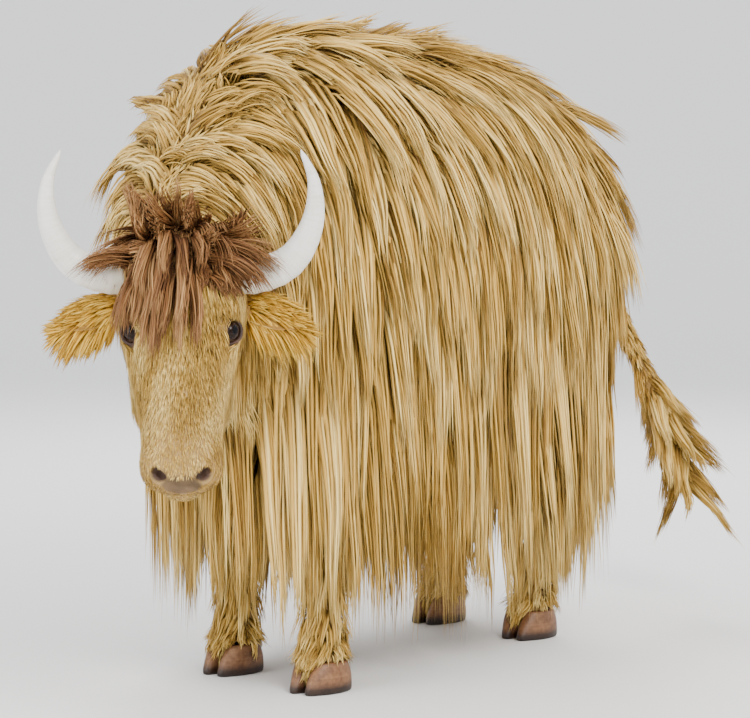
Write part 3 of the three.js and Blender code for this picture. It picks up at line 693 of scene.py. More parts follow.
class Paint:
    """A material whose nodes are added one by one."""

    def __init__(self, name, roughness, specular):
        self.material = bpy.data.materials.new(name)
        self.material.use_nodes = True
        self.nodes, self.links = self.material.node_tree.nodes, self.material.node_tree.links
        self.shader = self.nodes["Principled BSDF"]
        self.shader.inputs["Roughness"].default_value = roughness
        self.shader.inputs["Specular IOR Level"].default_value = specular

    def add(self, kind, inputs=(), output=0, **settings):
        node = self.nodes.new(kind)
        for key, value in settings.items():
            setattr(node, key, value)
        for key, value in dict(inputs).items():
            if isinstance(value, bpy.types.NodeSocket):
                self.links.new(value, node.inputs[key])
            else:
                node.inputs[key].default_value = value
        return node.outputs[output]

    def attribute(self, name):
        return self.add("ShaderNodeAttribute", output="Fac", attribute_name=name)

    def where(self):
        return self.add("ShaderNodeTexCoord", output="Object")

    def math(self, operation, a, b):
        return self.add("ShaderNodeMath", {0: a, 1: b}, operation=operation)

    def total(self, *terms):
        out = None
        for share, socket in terms:
            part = self.math("MULTIPLY", socket, share)
            out = part if out is None else self.math("ADD", out, part)
        return out

    def noise(self, vector, scale, detail):
        inputs = {"Vector": vector, "Scale": scale, "Detail": detail}
        return self.add("ShaderNodeTexNoise", inputs, output="Fac")

    def ramp(self, fac, *stops):
        node = self.nodes.new("ShaderNodeValToRGB")
        band = node.color_ramp
        while len(band.elements) < len(stops):
            band.elements.new(0.5)
        for element, (at, colour) in zip(band.elements, stops):
            element.position, element.color = at, linear(colour)
        self.links.new(fac, node.inputs["Fac"])
        return node.outputs["Color"]

    def blend(self, fac, a, b, mode="MIX"):
        return self.add("ShaderNodeMix", {0: fac, 6: a, 7: b}, output=2, data_type="RGBA", blend_type=mode)

    def scaled(self, vector, x, y, z):
        return self.add("ShaderNodeMapping", {"Vector": vector, "Scale": (x, y, z)})

    def finished(self, colour, height=None, strength=0.5, distance=0.0015):
        """The material, once its colour and its bumps are linked to the shader."""
        self.links.new(colour, self.shader.inputs["Base Color"])
        if height:
            inputs = {"Height": height, "Strength": strength, "Distance": distance}
            self.links.new(self.add("ShaderNodeBump", inputs), self.shader.inputs["Normal"])
        return self.material


def hair_paint(name, dark, mid, light, root):
    paint = Paint(name, 0.62, 0.3)
    uv = paint.add("ShaderNodeUVMap", uv_map="Strand")
    streak = paint.noise(paint.scaled(uv, 2.4, 0.5, 1), 3.0, 4.0)
    along, tone, lock = (paint.attribute(label) for label in ("along", "tone", "lock"))
    value = paint.total((0.42, tone), (0.34, lock), (0.55, streak), (0.24, along))
    value = paint.math("SUBTRACT", value, 0.27)
    colour = paint.ramp(value, (0.12, dark), (0.5, mid), (0.9, light))
    # Painted shade: the hair darkens towards its roots, where the locks over it would shade it
    shade = paint.ramp(along, (0.0, (*root, 1)), (0.38, WHITE))
    return paint.finished(paint.blend(1.0, colour, shade, "MULTIPLY"), streak)


# Dark, middle and light hair, and the painted shade at its roots
hair_paints = {
    name: hair_paint(name, *colours)
    for name, colours in {
        "coat": ((114, 78, 16), (204, 161, 72), (253, 221, 138), (0.36, 0.33, 0.3)),
        "forelock": ((74, 42, 18), (140, 94, 52), (184, 140, 88), (0.6, 0.56, 0.53)),
        "ear": ((134, 92, 18), (212, 160, 46), (242, 202, 92), (0.6, 0.56, 0.5)),
    }.items()
}


# Random values for each of the points

def vary(p, low, high):
    return rng.uniform(low, high, len(p))


def normal(p, middle, spread):
    return rng.normal(middle, spread, len(p))


def jitter(p, spread):
    return rng.normal(0, spread, p.shape)


def chance(p, share):
    return rng.random(len(p)) < share


# Hair

def skin_samples(count):
    """Points spread by area over the skin, with their normals, in the solids' frame."""
    mesh = skin.data
    mesh.calc_loop_triangles()
    corners = read(mesh.loop_triangles, "vertices", 3, np.int32)
    normals = read(mesh.vertices, "normal", 3)
    co = back(coordinates(skin))[corners]
    area = norm(np.cross(co[:, 1] - co[:, 0], co[:, 2] - co[:, 0]))
    pick = rng.choice(len(corners), count, p=area / area.sum())
    a, b = rng.random(count), rng.random(count)
    a, b = np.where(a + b > 1, 1 - a, a), np.where(a + b > 1, 1 - b, b)
    share = stacked(1 - a - b, a, b)[..., None]
    return (co[pick] * share).sum(1), unit((normals[corners[pick]] * share).sum(1))


def thinned(points, spacing):
    """The points left when none may lie nearer to a kept one than its spacing."""
    grid, kept = {}, []
    keys = np.floor(points / spacing.max()).astype(int)
    around = list(product((-1, 0, 1), repeat=3))
    for n, (p, key, gap) in enumerate(zip(points.tolist(), keys.tolist(), spacing.tolist())):
        cells = (grid.get((key[0] + i, key[1] + j, key[2] + k), ()) for i, j, k in around)
        if not any(math.dist(p, q) < gap for cell in cells for q in cell):
            grid.setdefault(tuple(key), []).append(p)
            kept.append(n)
    return np.array(kept)


def flow(root, out, lie, length, lift, droop, height, steps=8):
    """Paths of hair that keep clear above a form along their lie, and then hang."""
    p, way = root.copy(), unit(lie)
    points, outs = [p.copy()], [out]
    droop = 1 - (1 - np.full(len(root), droop)) ** (4 / steps)
    for i in range(1, steps + 1):
        p = p + way * (length / steps)[:, None]
        up = facing(height, p)
        short = lift * (i / steps) ** 0.6 - height(p)
        p = p + up * np.maximum(short, 0)[:, None]
        points.append(p.copy())
        outs.append(up)
        way = unit(way + (DOWN - way) * droop[:, None])
    return np.stack(points, 1), np.stack(outs, 1)


def along_paths(paths, s):
    """Points at shares s (N, K) of paths (N, steps + 1, 3)."""
    steps = paths.shape[1] - 1
    at = np.clip(s * steps, 0, steps - 1e-6)
    i = at.astype(int)
    t = (at - i)[..., None]
    rows = np.arange(len(paths))[:, None]
    return paths[rows, i] * (1 - t) + paths[rows, i + 1] * t


skin_near = BVHTree.FromPolygons(skin_co.tolist(), [tuple(face.vertices) for face in skin.data.polygons])


def hug(root, out, lie, length, lift, steps):
    """Paths of short fur that run close over the skin along their lie."""
    points, outs = [root - out * FUR_ROOT_DEPTH], [out]
    p, way, up = root.copy(), unit(lie), out
    for i in range(1, steps + 1):
        way = unit(way - (way * up).sum(1, keepdims=True) * up)
        p = p + way * (length / steps)[:, None]
        found = [skin_near.find_nearest(q) for q in p.tolist()]
        up = unit(np.array([f[1] for f in found]))
        p = np.array([f[0] for f in found]) + up * (lift * (i / steps) ** 0.8)[:, None]
        points.append(p)
        outs.append(up)
    return np.stack(points, 1), np.stack(outs, 1)


LONG_SHAPE = (0.7, 1.0, 0.95, 0.75, 0.42)
SHORT_SHAPE = (0.8, 1.0, 0.6)
FACE_SHAPE = (1.0, 0.75)


def add_values(obj, name, values):
    layer = obj.data.attributes.new(name, "FLOAT", "POINT")
    layer.data.foreach_set("value", np.asarray(values, np.float32))


def dressed(obj, paint):
    obj.data.materials.append(paint)
    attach(obj, "root")


def tuft_mesh(name, slot, shape, paths, out, half, tone, lock, uv):
    """One coat piece: each tuft is a closed, tapered, three-sided blade along its path."""
    count, rings = len(paths), len(shape)
    way = unit(np.gradient(paths, axis=1))
    across = unit(np.cross(out if out.ndim == 3 else out[:, None, :], way))
    rise = unit(np.cross(way, across))
    width, depth = ((size[:, None] * np.array(shape))[..., None] for size in (half, half * TUFT_FLATNESS))
    c, aside = paths[:, :rings], across[:, :rings] * width
    corners = np.stack([c - aside, c + aside, c + rise[:, :rings] * depth], 2)
    verts = np.concatenate([corners.reshape(count, rings * 3, 3), paths[:, -1:]], 1)
    per = rings * 3 + 1
    faces = [(0, 1, 2)]
    for k in range(0, per - 4, 3):
        faces += [(k + i, k + 3 + i, k + 3 + (i + 1) % 3, k + (i + 1) % 3) for i in range(3)]
    faces += [(per - 4 + i, per - 1, per - 4 + (i + 1) % 3) for i in range(3)]
    loops = (np.concatenate(faces) + per * np.arange(count)[:, None]).ravel().astype(np.int32)
    ends = np.cumsum(np.tile([len(face) for face in faces], count))
    mesh = bpy.data.meshes.new(name)
    mesh.vertices.add(count * per)
    mesh.vertices.foreach_set("co", place(verts).astype(np.float32).ravel())
    mesh.loops.add(len(loops))
    mesh.loops.foreach_set("vertex_index", loops)
    mesh.polygons.add(len(ends))
    mesh.polygons.foreach_set("loop_start", np.r_[0, ends[:-1]].astype(np.int32))
    mesh.update(calc_edges=True)
    mesh.polygons.foreach_set("use_smooth", np.ones(len(ends), bool))
    obj = linked(name, mesh)
    s = np.append(np.repeat(np.linspace(0, rings / (rings + 1.0), rings), 3), 1.0)
    add_values(obj, "along", np.tile(s, count))
    add_values(obj, "tone", np.repeat(tone, per))
    add_values(obj, "lock", np.repeat(lock, per))
    turn_share = np.append(np.tile([0.0, 1.0, 0.5], rings), 0.5)
    length = norm(np.diff(paths, axis=1)).sum(1)
    across_strand = turn_share + rng.random(count)[:, None] * STRAND_SHIFT
    along_strand = s * length[:, None] / STRAND_LENGTH + rng.random(count)[:, None] * STRAND_SHIFT
    patch = stacked(uv[:, :1] + (turn_share - 0.5) * TUFT_PATCH, uv[:, 1:] + (s - 0.5) * TUFT_PATCH)
    for label, values in [("OFBake", patch), ("Strand", stacked(across_strand, along_strand))]:
        layer = mesh.uv_layers.new(name=label)
        layer.data.foreach_set("uv", values.reshape(-1, 2)[loops].astype(np.float32).ravel())
    dressed(obj, hair_paints[slot])


def locks(roots, out, fields, height, spacing, clump, stray, wave, rings):
    """Tuft paths gathered into pointed locks. fields gives lie, length, lift and droop at points."""
    chosen = thinned(roots, spacing * vary(roots, 0.7, 1.35))
    lie, length, lift, droop = fields(roots[chosen])
    paths, outs = flow(roots[chosen], out[chosen], lie, length, lift, droop, height)
    tree = KDTree(len(chosen))
    for i, p in enumerate(roots[chosen].tolist()):
        tree.insert(p, i)
    tree.balance()
    owner = np.array([tree.find(p)[1] for p in roots.tolist()])
    off = roots - roots[chosen][owner]
    end = vary(roots, 0.8, 1.07) * (1 - 0.24 * np.minimum(norm(off) / spacing, 1))
    s = end[:, None] * np.linspace(0, 1, rings + 1)
    within = np.minimum(s, 1)
    stem = along_paths(paths[owner], within)
    over = (s - within)[..., None] * length[owner][:, None, None]
    stem += over * unit(paths[owner][:, -1] - paths[owner][:, -2])[:, None]
    up = along_paths(outs[owner], within)
    gather = np.minimum(clump * vary(roots, 0.7, 1.12), 0.95)[:, None]
    spread = off[:, None] * (1 - gather * within**0.75)[..., None]
    across = unit(np.cross(up, np.gradient(stem, axis=1)))
    phase, swing = rng.random(len(chosen))[owner], vary(chosen, 0.2, 1)[owner]
    sway = swing[:, None] * wave * s * np.sin(2 * math.pi * (1.4 * s + phase[:, None]))
    thickness = np.where(lift > LOOSE_LIFT, LOOSE_THICKNESS, lift)[owner][:, None]
    depth = vary(roots, -0.1, 0.85)[:, None] * thickness * within**0.8
    strays = jitter(off[:, None], 1) * stray * (s**1.5)[..., None]
    points = stem + spread - up * depth[..., None] + across * sway[..., None] + strays
    points[:, 0] = roots - out * LOCK_ROOT_DEPTH
    return points, up, rng.random(len(chosen))[owner]


def parted(angle, line):
    """The side of a parting that lies line degrees off the middle of the back, and the angle from it."""
    angle = angle - line * ease(95, 25, np.abs(angle))
    return np.sign(angle), np.abs(angle)


def trunk_fields(p):
    angle, at = trunk.around(p)
    side, angle = parted(angle, 9 * np.sin(at / 120) - 20 * ease(150, 520, at))
    table = lambda *v: np.interp(angle, [0, 24, 48, 68, 92, 116, 137, 180], v)
    lie = stacked(
        table(-0.9, -0.75, -0.35, -0.15, -0.1, -0.05, 0, 0),
        side * table(0.0, 0.5, 0.8, 0.2, 0.05, 0, 0.3, 0.1) + normal(p, 0, 0.26) * ease(52, 18, angle),
        table(-0.14, -0.25, -0.8, -1, -1, -1, -1, -1),
    )
    low = ease(50, 80, angle)
    ends = ease(560, 650, at) * -0.1 - ease(-600, -690, at) * 0.3
    sway = 0.1 * np.sin(at / 95 + side) + 0.06 * np.sin(at / 37)
    lie[:, 0] += (ends + sway) * low + normal(p, 0, 0.05)
    lie[:, 1] += normal(p, 0, 0.05) - side * 0.1 * ease(560, 650, at) * low
    length = table(225, 265, 305, 350, 405, 500, 460, 330) * vary(p, 0.86, 1.12)
    hem = SKIRT_HEM - 115 + vary(p, 0, 135) + 90 * ease(600, 680, at) + 110 * ease(-640, -710, at)
    hem += 110 * ease(145, 170, angle)
    to_hem = np.minimum(1.12 * (p[:, 2] - hem), p[:, 2] - 85)
    length = np.where(angle > 100, np.clip(to_hem, 120, 640), length)
    lift = table(54, 58, 58, 62, 60, 50, 42, 34) * vary(p, 0.82, 1.2)
    loose = chance(p, 0.2) * ease(300, 420, np.abs(at)) * ease(102, 64, angle)
    room = np.maximum(TOP_OF_HAIR - p[:, 2] - lift, 0)
    lift += loose * np.minimum(vary(p, 34, 104), room)
    lift += 26 * ease(34, 14, angle) * chance(p, 0.4) * ease(260, 160, at)
    return lie, length, lift, table(0.22, 0.22, 0.3, 0.3, 0.3, 0.3, 0.5, 0.5) * (1 - 0.55 * loose)


def neck_fields(p):
    angle, at = neck.around(p)
    side, angle = parted(angle, 8 * np.sin(at / 50) - 26)
    table = lambda *v: np.interp(angle, [0, 24, 50, 75, 180], v)
    lie = stacked(
        table(-0.8, -0.65, -0.3, -0.08, -0.04),
        side * table(0.05, 0.35, 0.65, 0.1, 0.04) + normal(p, 0, 0.3) * ease(60, 20, angle),
        table(0.1, -0.1, -0.8, -1, -1),
    )
    lie += jitter(p, 0.06)
    length = np.interp(angle, [0, 40, 90, 120, 180], [205, 190, 195, 255, 215]) * vary(p, 0.85, 1.12)
    lift = np.interp(at, [110, 186, 254, 312, 372], [66, 88, 76, 46, 34]) * vary(p, 0.75, 1.08)
    lift *= np.interp(angle, [0, 30], [0.7, 1])
    loose = chance(p, 0.16) * ease(22, 40, angle) * ease(112, 90, angle)
    lift += loose * vary(p, 30, 74)
    return lie, length, lift, table(0.25, 0.25, 0.28, 0.4, 0.4)


def torso_height(p):
    inner = [trunk.height(p), neck.height(p), skull.height(p) + 20]
    return np.min(inner + [form.height(p) + 20 for form in leg_forms.values()], 0)


def forelock_fields(p):
    q = through(head_inverse, p)
    at, share = q[:, 0], q[:, 1] / 100
    table = lambda *v: np.interp(at, [-110, -92, -50, 0, 48], v)
    aside = share * 0.46 + normal(p, 0, 0.16)
    lie = head_way(table(-0.2, 0.4, 0.85, 1, 1), aside, table(1, 1, 0.8, 0.35, 0.2))
    length = table(150, 190, 245, 265, 225) * vary(p, 0.75, 1.12)
    length *= 1 - np.where(share > 0, 0.6, 0.42) * np.minimum(share**2, 1)
    lift = table(108, 106, 92, 70, 50) * vary(p, 0.75, 1.15)
    droop = table(0.06, 0.1, 0.2, 0.3, 0.3)
    jag = chance(p, 0.16) & (at < -20)
    up = head_way(normal(p, -0.25, 0.25), share * 0.7 + normal(p, 0, 0.2), 1.0)
    lie[jag], lift[jag], droop[jag] = up[jag], 112, 0.0
    length[jag] = vary(p[jag], 125, 180)
    clear_eye = (share > 0.3) & ~jag
    length[clear_eye] = np.minimum(length, vary(p, 92, 116) - at)[clear_eye]
    over_horn = (np.abs(share) > 0.5) & (at < 6) & chance(p, 0.62) & ~jag
    outward = head_way(normal(p, 0.22, 0.16), np.sign(share) * 0.85, vary(p, 0.4, 0.75))
    lie[over_horn], droop[over_horn] = outward[over_horn], 0.24
    length[over_horn] = vary(p[over_horn], 140, 205)
    return lie, length, lift, droop


def head_fields(p):
    angle, at = skull.around(p)
    lean, angle = np.clip(angle / 40, -1, 1), np.abs(angle)
    over = ease(50, 100, angle)
    lie = head_way(mix(1.0, 0.25, over), lean * mix(0.3, 0.1, over), 0 * at)
    lie += DOWN * (over * ease(420, 300, at))[:, None] + jitter(p, 0.1)
    top = np.interp(at, [-80, 60, 150, 240, 340, 430, 490], [60, 44, 30, 26, 20, 13, 9])
    low = np.interp(at, [-80, 60, 150, 220, 290, 350, 420, 490], [120, 115, 105, 80, 44, 24, 12, 8])
    length = 1.25 * mix(top, low, ease(78, 118, angle)) * vary(p, 0.75, 1.2)
    length = np.where(at < EYE_PLACE[0] + 8, np.minimum(length, np.maximum(to_eye(p) - 24, 10)), length)
    return lie, length, 1.5 + length * 0.14, None


def leg_fields(form, flare, stray, length, long_by, clear, lift, lift_by, droop):
    """Hair that falls down a leg and leans outward. Flare, length and lift are given by level."""
    def fields(p):
        q = through(form.inverse, p)
        z = q[:, 0]
        out = unit(stacked(q[:, 2], q[:, 1], 0))
        lie = out * np.interp(z, *flare)[:, None] + DOWN + jitter(p, stray)
        long = np.minimum(np.interp(z, *length) * vary(p, *long_by), z - clear)
        return lie, long, np.interp(z, *lift) * vary(p, *lift_by), droop

    return fields


# Flare, stray, length and its range, clearance, lift and its range, droop
LEG_HAIR = (
    ([60, 160, 260], [0.75, 0.4, 0.12]), 0.08,
    ([66, 110, 200, 300, 420, 600], [44, 80, 120, 150, 175, 200]), (0.8, 1.15), 20,
    ([66, 110, 200, 320, 600], [20, 32, 34, 36, 40]), (0.75, 1.1), 0.12,
)
FETLOCK_HAIR = (
    ([66, 130], [1.1, 0.6]), 0.12, ([66], [1]), (52, 84), 14, ([66, 130], [24, 34]), (0.7, 1.2), 0.35,
)


def strand_fields(strand, length, lift, spread, droop):
    """Hair on the tail. Length, lift and spread are given at its root and its tip."""
    def fields(p):
        s = strand.share(p, 60)
        lie = strand.curve.way(s) + unit(p - strand.curve.at(s)) * mix(*spread, s)[:, None] + jitter(p, 0.07)
        return lie, mix(*length, s) * vary(p, 0.8, 1.12), mix(*lift, s) * vary(p, 0.8, 1.1), droop

    return fields


def under_fields(fields):
    """Short dense hair with the lie of the long hair over it."""
    def short(p):
        lie = fields(p)[0]
        return lie, vary(p, 46, 70), vary(p, 8, 20), None

    return short


# Where the skin carries which hair

samples, sample_out = skin_samples(SAMPLE_COUNT)
head_samples = through(head_inverse, samples)
in_front, aside, above = head_samples.T
over_skull = skull.height(samples)
forms = {"trunk": trunk, "neck": neck, "head": skull, "tail": tail, "switch": switch, **leg_forms}
sunk = {"head": SUNK, **{label: SUNK for label in leg_forms}}
near = [np.abs(form.height(samples) + sunk.get(label, 0)) for label, form in forms.items()]
region = np.array(list(forms))[np.argmin(near, 0)]
for side, word in SIDES.items():
    on_ear = (ears[side].height(samples) < 46) & (aside * side > 112) & (np.abs(over_skull + SUNK) > 7)
    region[on_ear & np.isin(region, ["head", "neck"])] = f"ear_{word}"
in_forelock = (region == "head") & (in_front < 48) & (above > 22) & (np.abs(aside) < 112)
in_forelock |= (region == "neck") & (over_skull < 24) & (above > 10)
region[in_forelock] = "forelock"


def to_nostril(q):
    """How far points in the head's frame lie from the nearer nostril."""
    return norm(q * [1, 0, 1] + np.abs(q) * [0, 1, 0] - np.add(NOSTRIL_PLACE, (0, 4, 0)))


def nose_pad(q):
    """How far points in the head's frame lie from the middle of the bare nose, where 1 is its edge."""
    return np.hypot(q[..., 1] / 42, (q[..., 2] + 6) / 30) + ease(470, 452, q[..., 0])


bare = (eye_share(samples, 3, 5) < 1) | (to_eye(samples) < EYE_RADIUS + 1)
bare |= (to_nostril(head_samples) < 24) | (nose_pad(head_samples) < 0.95)
bare |= (in_front > 300) & (above < -10) & (over_skull < -14)
bare |= (in_front > MOUTH_CORNER - 4) & (np.abs(above - MOUTH_LEVEL - 3) < 5)
region[bare & (region == "head")] = "bare"
forms["forelock"] = skull
slots = {"forelock": "forelock", "ear_left": "ear", "ear_right": "ear"}
heights = {"trunk": torso_height, "neck": torso_height, "forelock": lambda p: skull.height(p) + SUNK}


def picked(label, count, where=True):
    """Up to count samples of a region, and the ways out of the skin there."""
    rows = rng.permutation(np.flatnonzero((region == label) & where))[:count]
    return samples[rows], sample_out[rows]


def coat(name, label, points, up, lock_tone, half, shape, uv):
    """The tufts of a region, in pieces of fewer than 200,000 triangles."""
    count = len(points)
    parts = math.ceil(count * (6 * len(shape) - 2) / PIECE_TRIANGLES)
    half = half * vary(points, 0.75, 1.25)
    tone = rng.random(count)
    for i, rows in enumerate(np.array_split(np.arange(count), parts)):
        piece = name if parts == 1 else f"{name}_{i + 1}"
        values = [part[rows] for part in (points, up, half, tone, lock_tone, uv)]
        tuft_mesh(piece, slots.get(label, "coat"), shape, *values)


def long_coat(name, label, count, fields, spacing, clump, stray, half, shape=LONG_SHAPE, wave=5, where=True):
    roots, out = picked(label, count, where)
    height = heights.get(label, forms[label].height)
    locked = locks(roots, out, fields, height, spacing, clump, stray, wave, len(shape))
    coat(name, label, *locked, half, shape, forms[label].patch(roots))


def short_fur(name, label, count, fields, half, shape=SHORT_SHAPE, width=0.075, where=True):
    roots, out = picked(label, count, where)
    lie, length, lift, _ = fields(roots)
    paths, outs = hug(roots, out, lie, length, lift, len(shape))
    lock_tone = 0.5 + 0.5 * np.sin(roots[:, 0] / 31 + np.sin(roots[:, 1] / 23) * 2 + roots[:, 2] / 41)
    half = np.clip(length * width, 1.0, half)
    coat(name, label, paths, outs, lock_tone, half, shape, forms[label].patch(roots))


def ear_hair(side):
    label = f"ear_{SIDES[side]}"
    roots, out = picked(label, EAR_TUFTS)
    along, opens = (turn(head_frame, v) for v in ear_frame(side))
    curve = ears[side].curve
    share = np.clip(((roots - curve.at(0)) @ along) / EAR_LENGTH, 0, 1)
    off = roots - curve.at(share)
    lower = ease(4, -18, off[:, 2])
    length = (24 + 24 * lower + 14 * ease(0.2, 0.7, out @ opens)) * vary(roots, 0.7, 1.2)
    way = unit(along + out * 0.22 + DOWN * (0.9 * lower)[:, None] + jitter(roots, 0.16))
    s = np.linspace(0, 1, len(SHORT_SHAPE) + 1)
    fall = length[:, None] * (0.08 + 0.35 * lower)[:, None] * s**2
    paths = roots[:, None] + way[:, None] * (length[:, None] * s)[..., None] + DOWN * fall[..., None]
    paths[:, 0] -= out * FUR_ROOT_DEPTH
    tone = rng.random(len(roots))
    half = np.clip(length * 0.075, 1.9, 3.6)
    patch = stacked(fitted(share), fitted(off @ opens))
    coat(f"fur_{label}", label, paths, out, tone, half, SHORT_SHAPE, patch)


round_trunk = np.abs(trunk.around(samples)[0])
tail_fields = strand_fields(tail, (80, 60), (14, 10), (0.12, 0.12), 0.15)
switch_fields = strand_fields(switch, (150, 225), (26, 52), (0.25, 0.95), 0.08)

# Each call gives name, region, count and fields, then for long hair the spacing of its locks, how far
# they gather and how far single tufts stray, and then the half-width of a tuft.
thin_belly = (round_trunk < 132) | chance(samples, 0.5)
long_coat("coat_trunk", "trunk", 22500, trunk_fields, 74, 0.84, 6, 5.3, wave=8, where=thin_belly)
long_coat("coat_neck", "neck", 5200, neck_fields, 52, 0.78, 6, 4.0)
long_coat("forelock", "forelock", 3000, forelock_fields, 32, 0.8, 6, 3.2)
on_face = (in_front > 130) | chance(samples, 0.75)
short_fur("coat_head", "head", 21500, head_fields, 3.0, FACE_SHAPE, 0.05, on_face)
short_fur("under_trunk", "trunk", 4400, under_fields(trunk_fields), 4.8, where=round_trunk < 72)
short_fur("under_neck", "neck", 2600, under_fields(neck_fields), 4.6)
short_fur("under_forelock", "forelock", 700, under_fields(forelock_fields), 4.0)
for label, form in leg_forms.items():
    at_foot = through(form.inverse, samples)[:, 0] < 135
    leg_hair, fetlock_hair = leg_fields(form, *LEG_HAIR), leg_fields(form, *FETLOCK_HAIR)
    long_coat(f"coat_leg_{label}", label, 1900, leg_hair, 26, 0.55, 4, 3.6, SHORT_SHAPE)
    long_coat(f"fetlock_{label}", label, 700, fetlock_hair, 24, 0.5, 4, 3.2, SHORT_SHAPE, 2, at_foot)
long_coat("coat_tail", "tail", 2000, tail_fields, 16, 0.3, 4, 3.0, SHORT_SHAPE, 3)
long_coat("coat_switch", "switch", 1900, switch_fields, 44, 0.94, 5, 3.8, wave=10)
short_fur("under_tail", "tail", 450, under_fields(tail_fields), 3.6)
short_fur("under_switch", "switch", 450, under_fields(switch_fields), 3.6)
for side in SIDES:
    ear_hair(side)


# Skin's colours

def paint_skin():
    q = through(head_inverse, skin_co)
    on_head = ease(40, 10, np.abs(skull.height(skin_co) + SUNK))
    brow = ease(60, 30, q[:, 0]) * ease(5, 30, q[:, 2]) * ease(125, 100, np.abs(q[:, 1])) * on_head
    on_ears = [ease(52, 40, ears[side].height(skin_co)) * ease(104, 118, q[:, 1] * side) for side in SIDES]
    eye_rims = ease(1.14, 0.95, eye_share(skin_co, 5, 5))
    pad = ease(1.15, 0.85, nose_pad(q)) * 0.75
    lip = ease(6, 2, np.abs(q[:, 2] - MOUTH_LEVEL - 3)) * ease(MOUTH_CORNER - 20, MOUTH_CORNER, q[:, 0])
    add_values(skin, "brow", brow)
    add_values(skin, "ears", np.maximum(*on_ears))
    add_values(skin, "dark", np.maximum.reduce([eye_rims, ease(24, 14, to_nostril(q)), pad, lip * on_head]))
    add_values(skin, "short", np.maximum(on_head, ease(420, 240, skin_co[:, 2])))
    paint = Paint("skin", 0.62, 0.35)
    where = paint.where()
    mottle = paint.noise(where, 34, 5)
    # Painted shade: the skin is darker than the coat, so the gaps between the locks look shaded; where the
    # hair is short it is paler
    colour = paint.ramp(mottle, (0.3, (128, 96, 46)), (0.7, (168, 133, 74)))
    pale = paint.ramp(mottle, (0.3, (142, 110, 58)), (0.7, (186, 152, 92)))
    hide = paint.ramp(mottle, (0.3, (38, 26, 20)), (0.75, (88, 62, 48)))
    layers = {"short": pale, "brow": linear((112, 74, 50)), "ears": linear((158, 118, 52)), "dark": hide}
    for label, layer in layers.items():
        colour = paint.blend(paint.attribute(label), colour, layer)
    skin.data.materials.clear()
    skin.data.materials.append(paint.finished(colour, paint.noise(where, 420, 3), 0.5, 0.002))


# Horns

HORN_RINGS, HORN_SIDES = 221, 48


def horn(side):
    def size(s):
        ring = 0.5 + 0.5 * np.sin(2 * math.pi * 15 * s**0.8)
        ring = 1 + 0.035 * (ring**2 - 0.4) * ease(0.75, 0.15, s)
        tip = np.where(s > 0.97, np.sqrt(np.clip((1.0 - s) / 0.03, 0.05, 1)), 1)
        radius = mix(46, 4, s**1.5) * ring * tip
        return radius, radius * 0.95, radius * 0.95

    rings = sweep_rings(horn_curve(side), size, HORN_RINGS - 1, HORN_SIDES, up_in_head)
    obj = lofted(f"horn_shell_{SIDES[side]}", rings)
    turn_by = np.abs(np.linspace(-1, 1, HORN_SIDES))
    add_values(obj, "along", np.r_[np.repeat(np.linspace(0, 1, HORN_RINGS), HORN_SIDES), 0, 1])
    add_values(obj, "turn", np.r_[np.tile(turn_by, HORN_RINGS), 0, 0])
    dressed(obj, horn_paint)
    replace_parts(obj, f"horn_{SIDES[side]}")


def make_horn_paint():
    paint = Paint("horn", 0.36, 0.5)
    along, turned_by = paint.attribute("along"), paint.attribute("turn")
    where = paint.add("ShaderNodeCombineXYZ", {"X": along, "Y": turned_by})
    streak = paint.noise(paint.scaled(where, 2.0, 30.0, 1), 3.0, 5.0)
    ring = paint.noise(paint.scaled(where, 36.0, 0.7, 1), 2.0, 3.0)
    value = paint.total((0.4, streak), (0.35, ring), (0.35, paint.noise(paint.where(), 16, 4)))
    colour = paint.ramp(value, (0.3, (206, 196, 176)), (0.52, (232, 228, 218)), (0.8, (247, 246, 241)))
    base = paint.ramp(along, (0.0, (138, 118, 90)), (0.16, (216, 208, 190)), (0.34, WHITE))
    height = paint.total((0.7, ring), (0.3, streak))
    return paint.finished(paint.blend(0.85, colour, base, "MULTIPLY"), height, 0.35)


# Hooves

CLAW_KEYS = [
    (0, 82, -46, 27), (2.5, 85.5, -49.5, 30.5), (14, 85, -51, 32), (45, 69, -48, 30),
    (CLAW_HEIGHT, 50, -38, 24),
]


def make_hoof_paint():
    paint = Paint("hoof", 0.46, 0.45)
    where, height = paint.where(), paint.attribute("height")
    level = paint.add("ShaderNodeCombineXYZ", {"Z": height})
    growth = paint.noise(paint.scaled(level, 1, 1, 15), 1.0, 3.0)
    value = paint.total((0.5, paint.noise(where, 26, 5)), (0.3, paint.noise(where, 130, 3)), (0.24, growth))
    colour = paint.ramp(value, (0.34, (74, 46, 25)), (0.52, (120, 81, 50)), (0.72, (156, 114, 76)))
    edge = paint.ramp(height, (0.0, (0.05, 0.045, 0.045, 1)), (0.2, (0.15, 0.13, 0.12, 1)), (0.42, WHITE))
    return paint.finished(paint.blend(1.0, colour, edge, "MULTIPLY"), value)


def claw(name, x, y, side):
    """One claw of a cloven foot; side is the way it looks out from the foot's middle."""
    spin = np.eye(4)
    spin[:3, :3] = spun(0, math.radians(-side * CLAW_TOE_OUT))
    form = Form(upright(x + 6, y + side * CLAW_SPREAD) @ spin, CLAW_KEYS, 2.6)
    q = through(form.inverse, form.rings(44, 7))
    toe = ease(0, 86, q[..., 2])
    reach, outward = q[..., 1], side * form.frame[1, 1]
    reach = np.where(reach * outward < 0, reach * 0.9, reach) * (1 - 0.34 * toe**1.5)
    q[..., 1] = reach - outward * 7 * toe
    obj = lofted(name, through(form.frame, q))
    add_values(obj, "height", back(coordinates(obj))[:, 2] / CLAW_HEIGHT)
    dressed(obj, hoof_paint)
    return obj


# Eyes

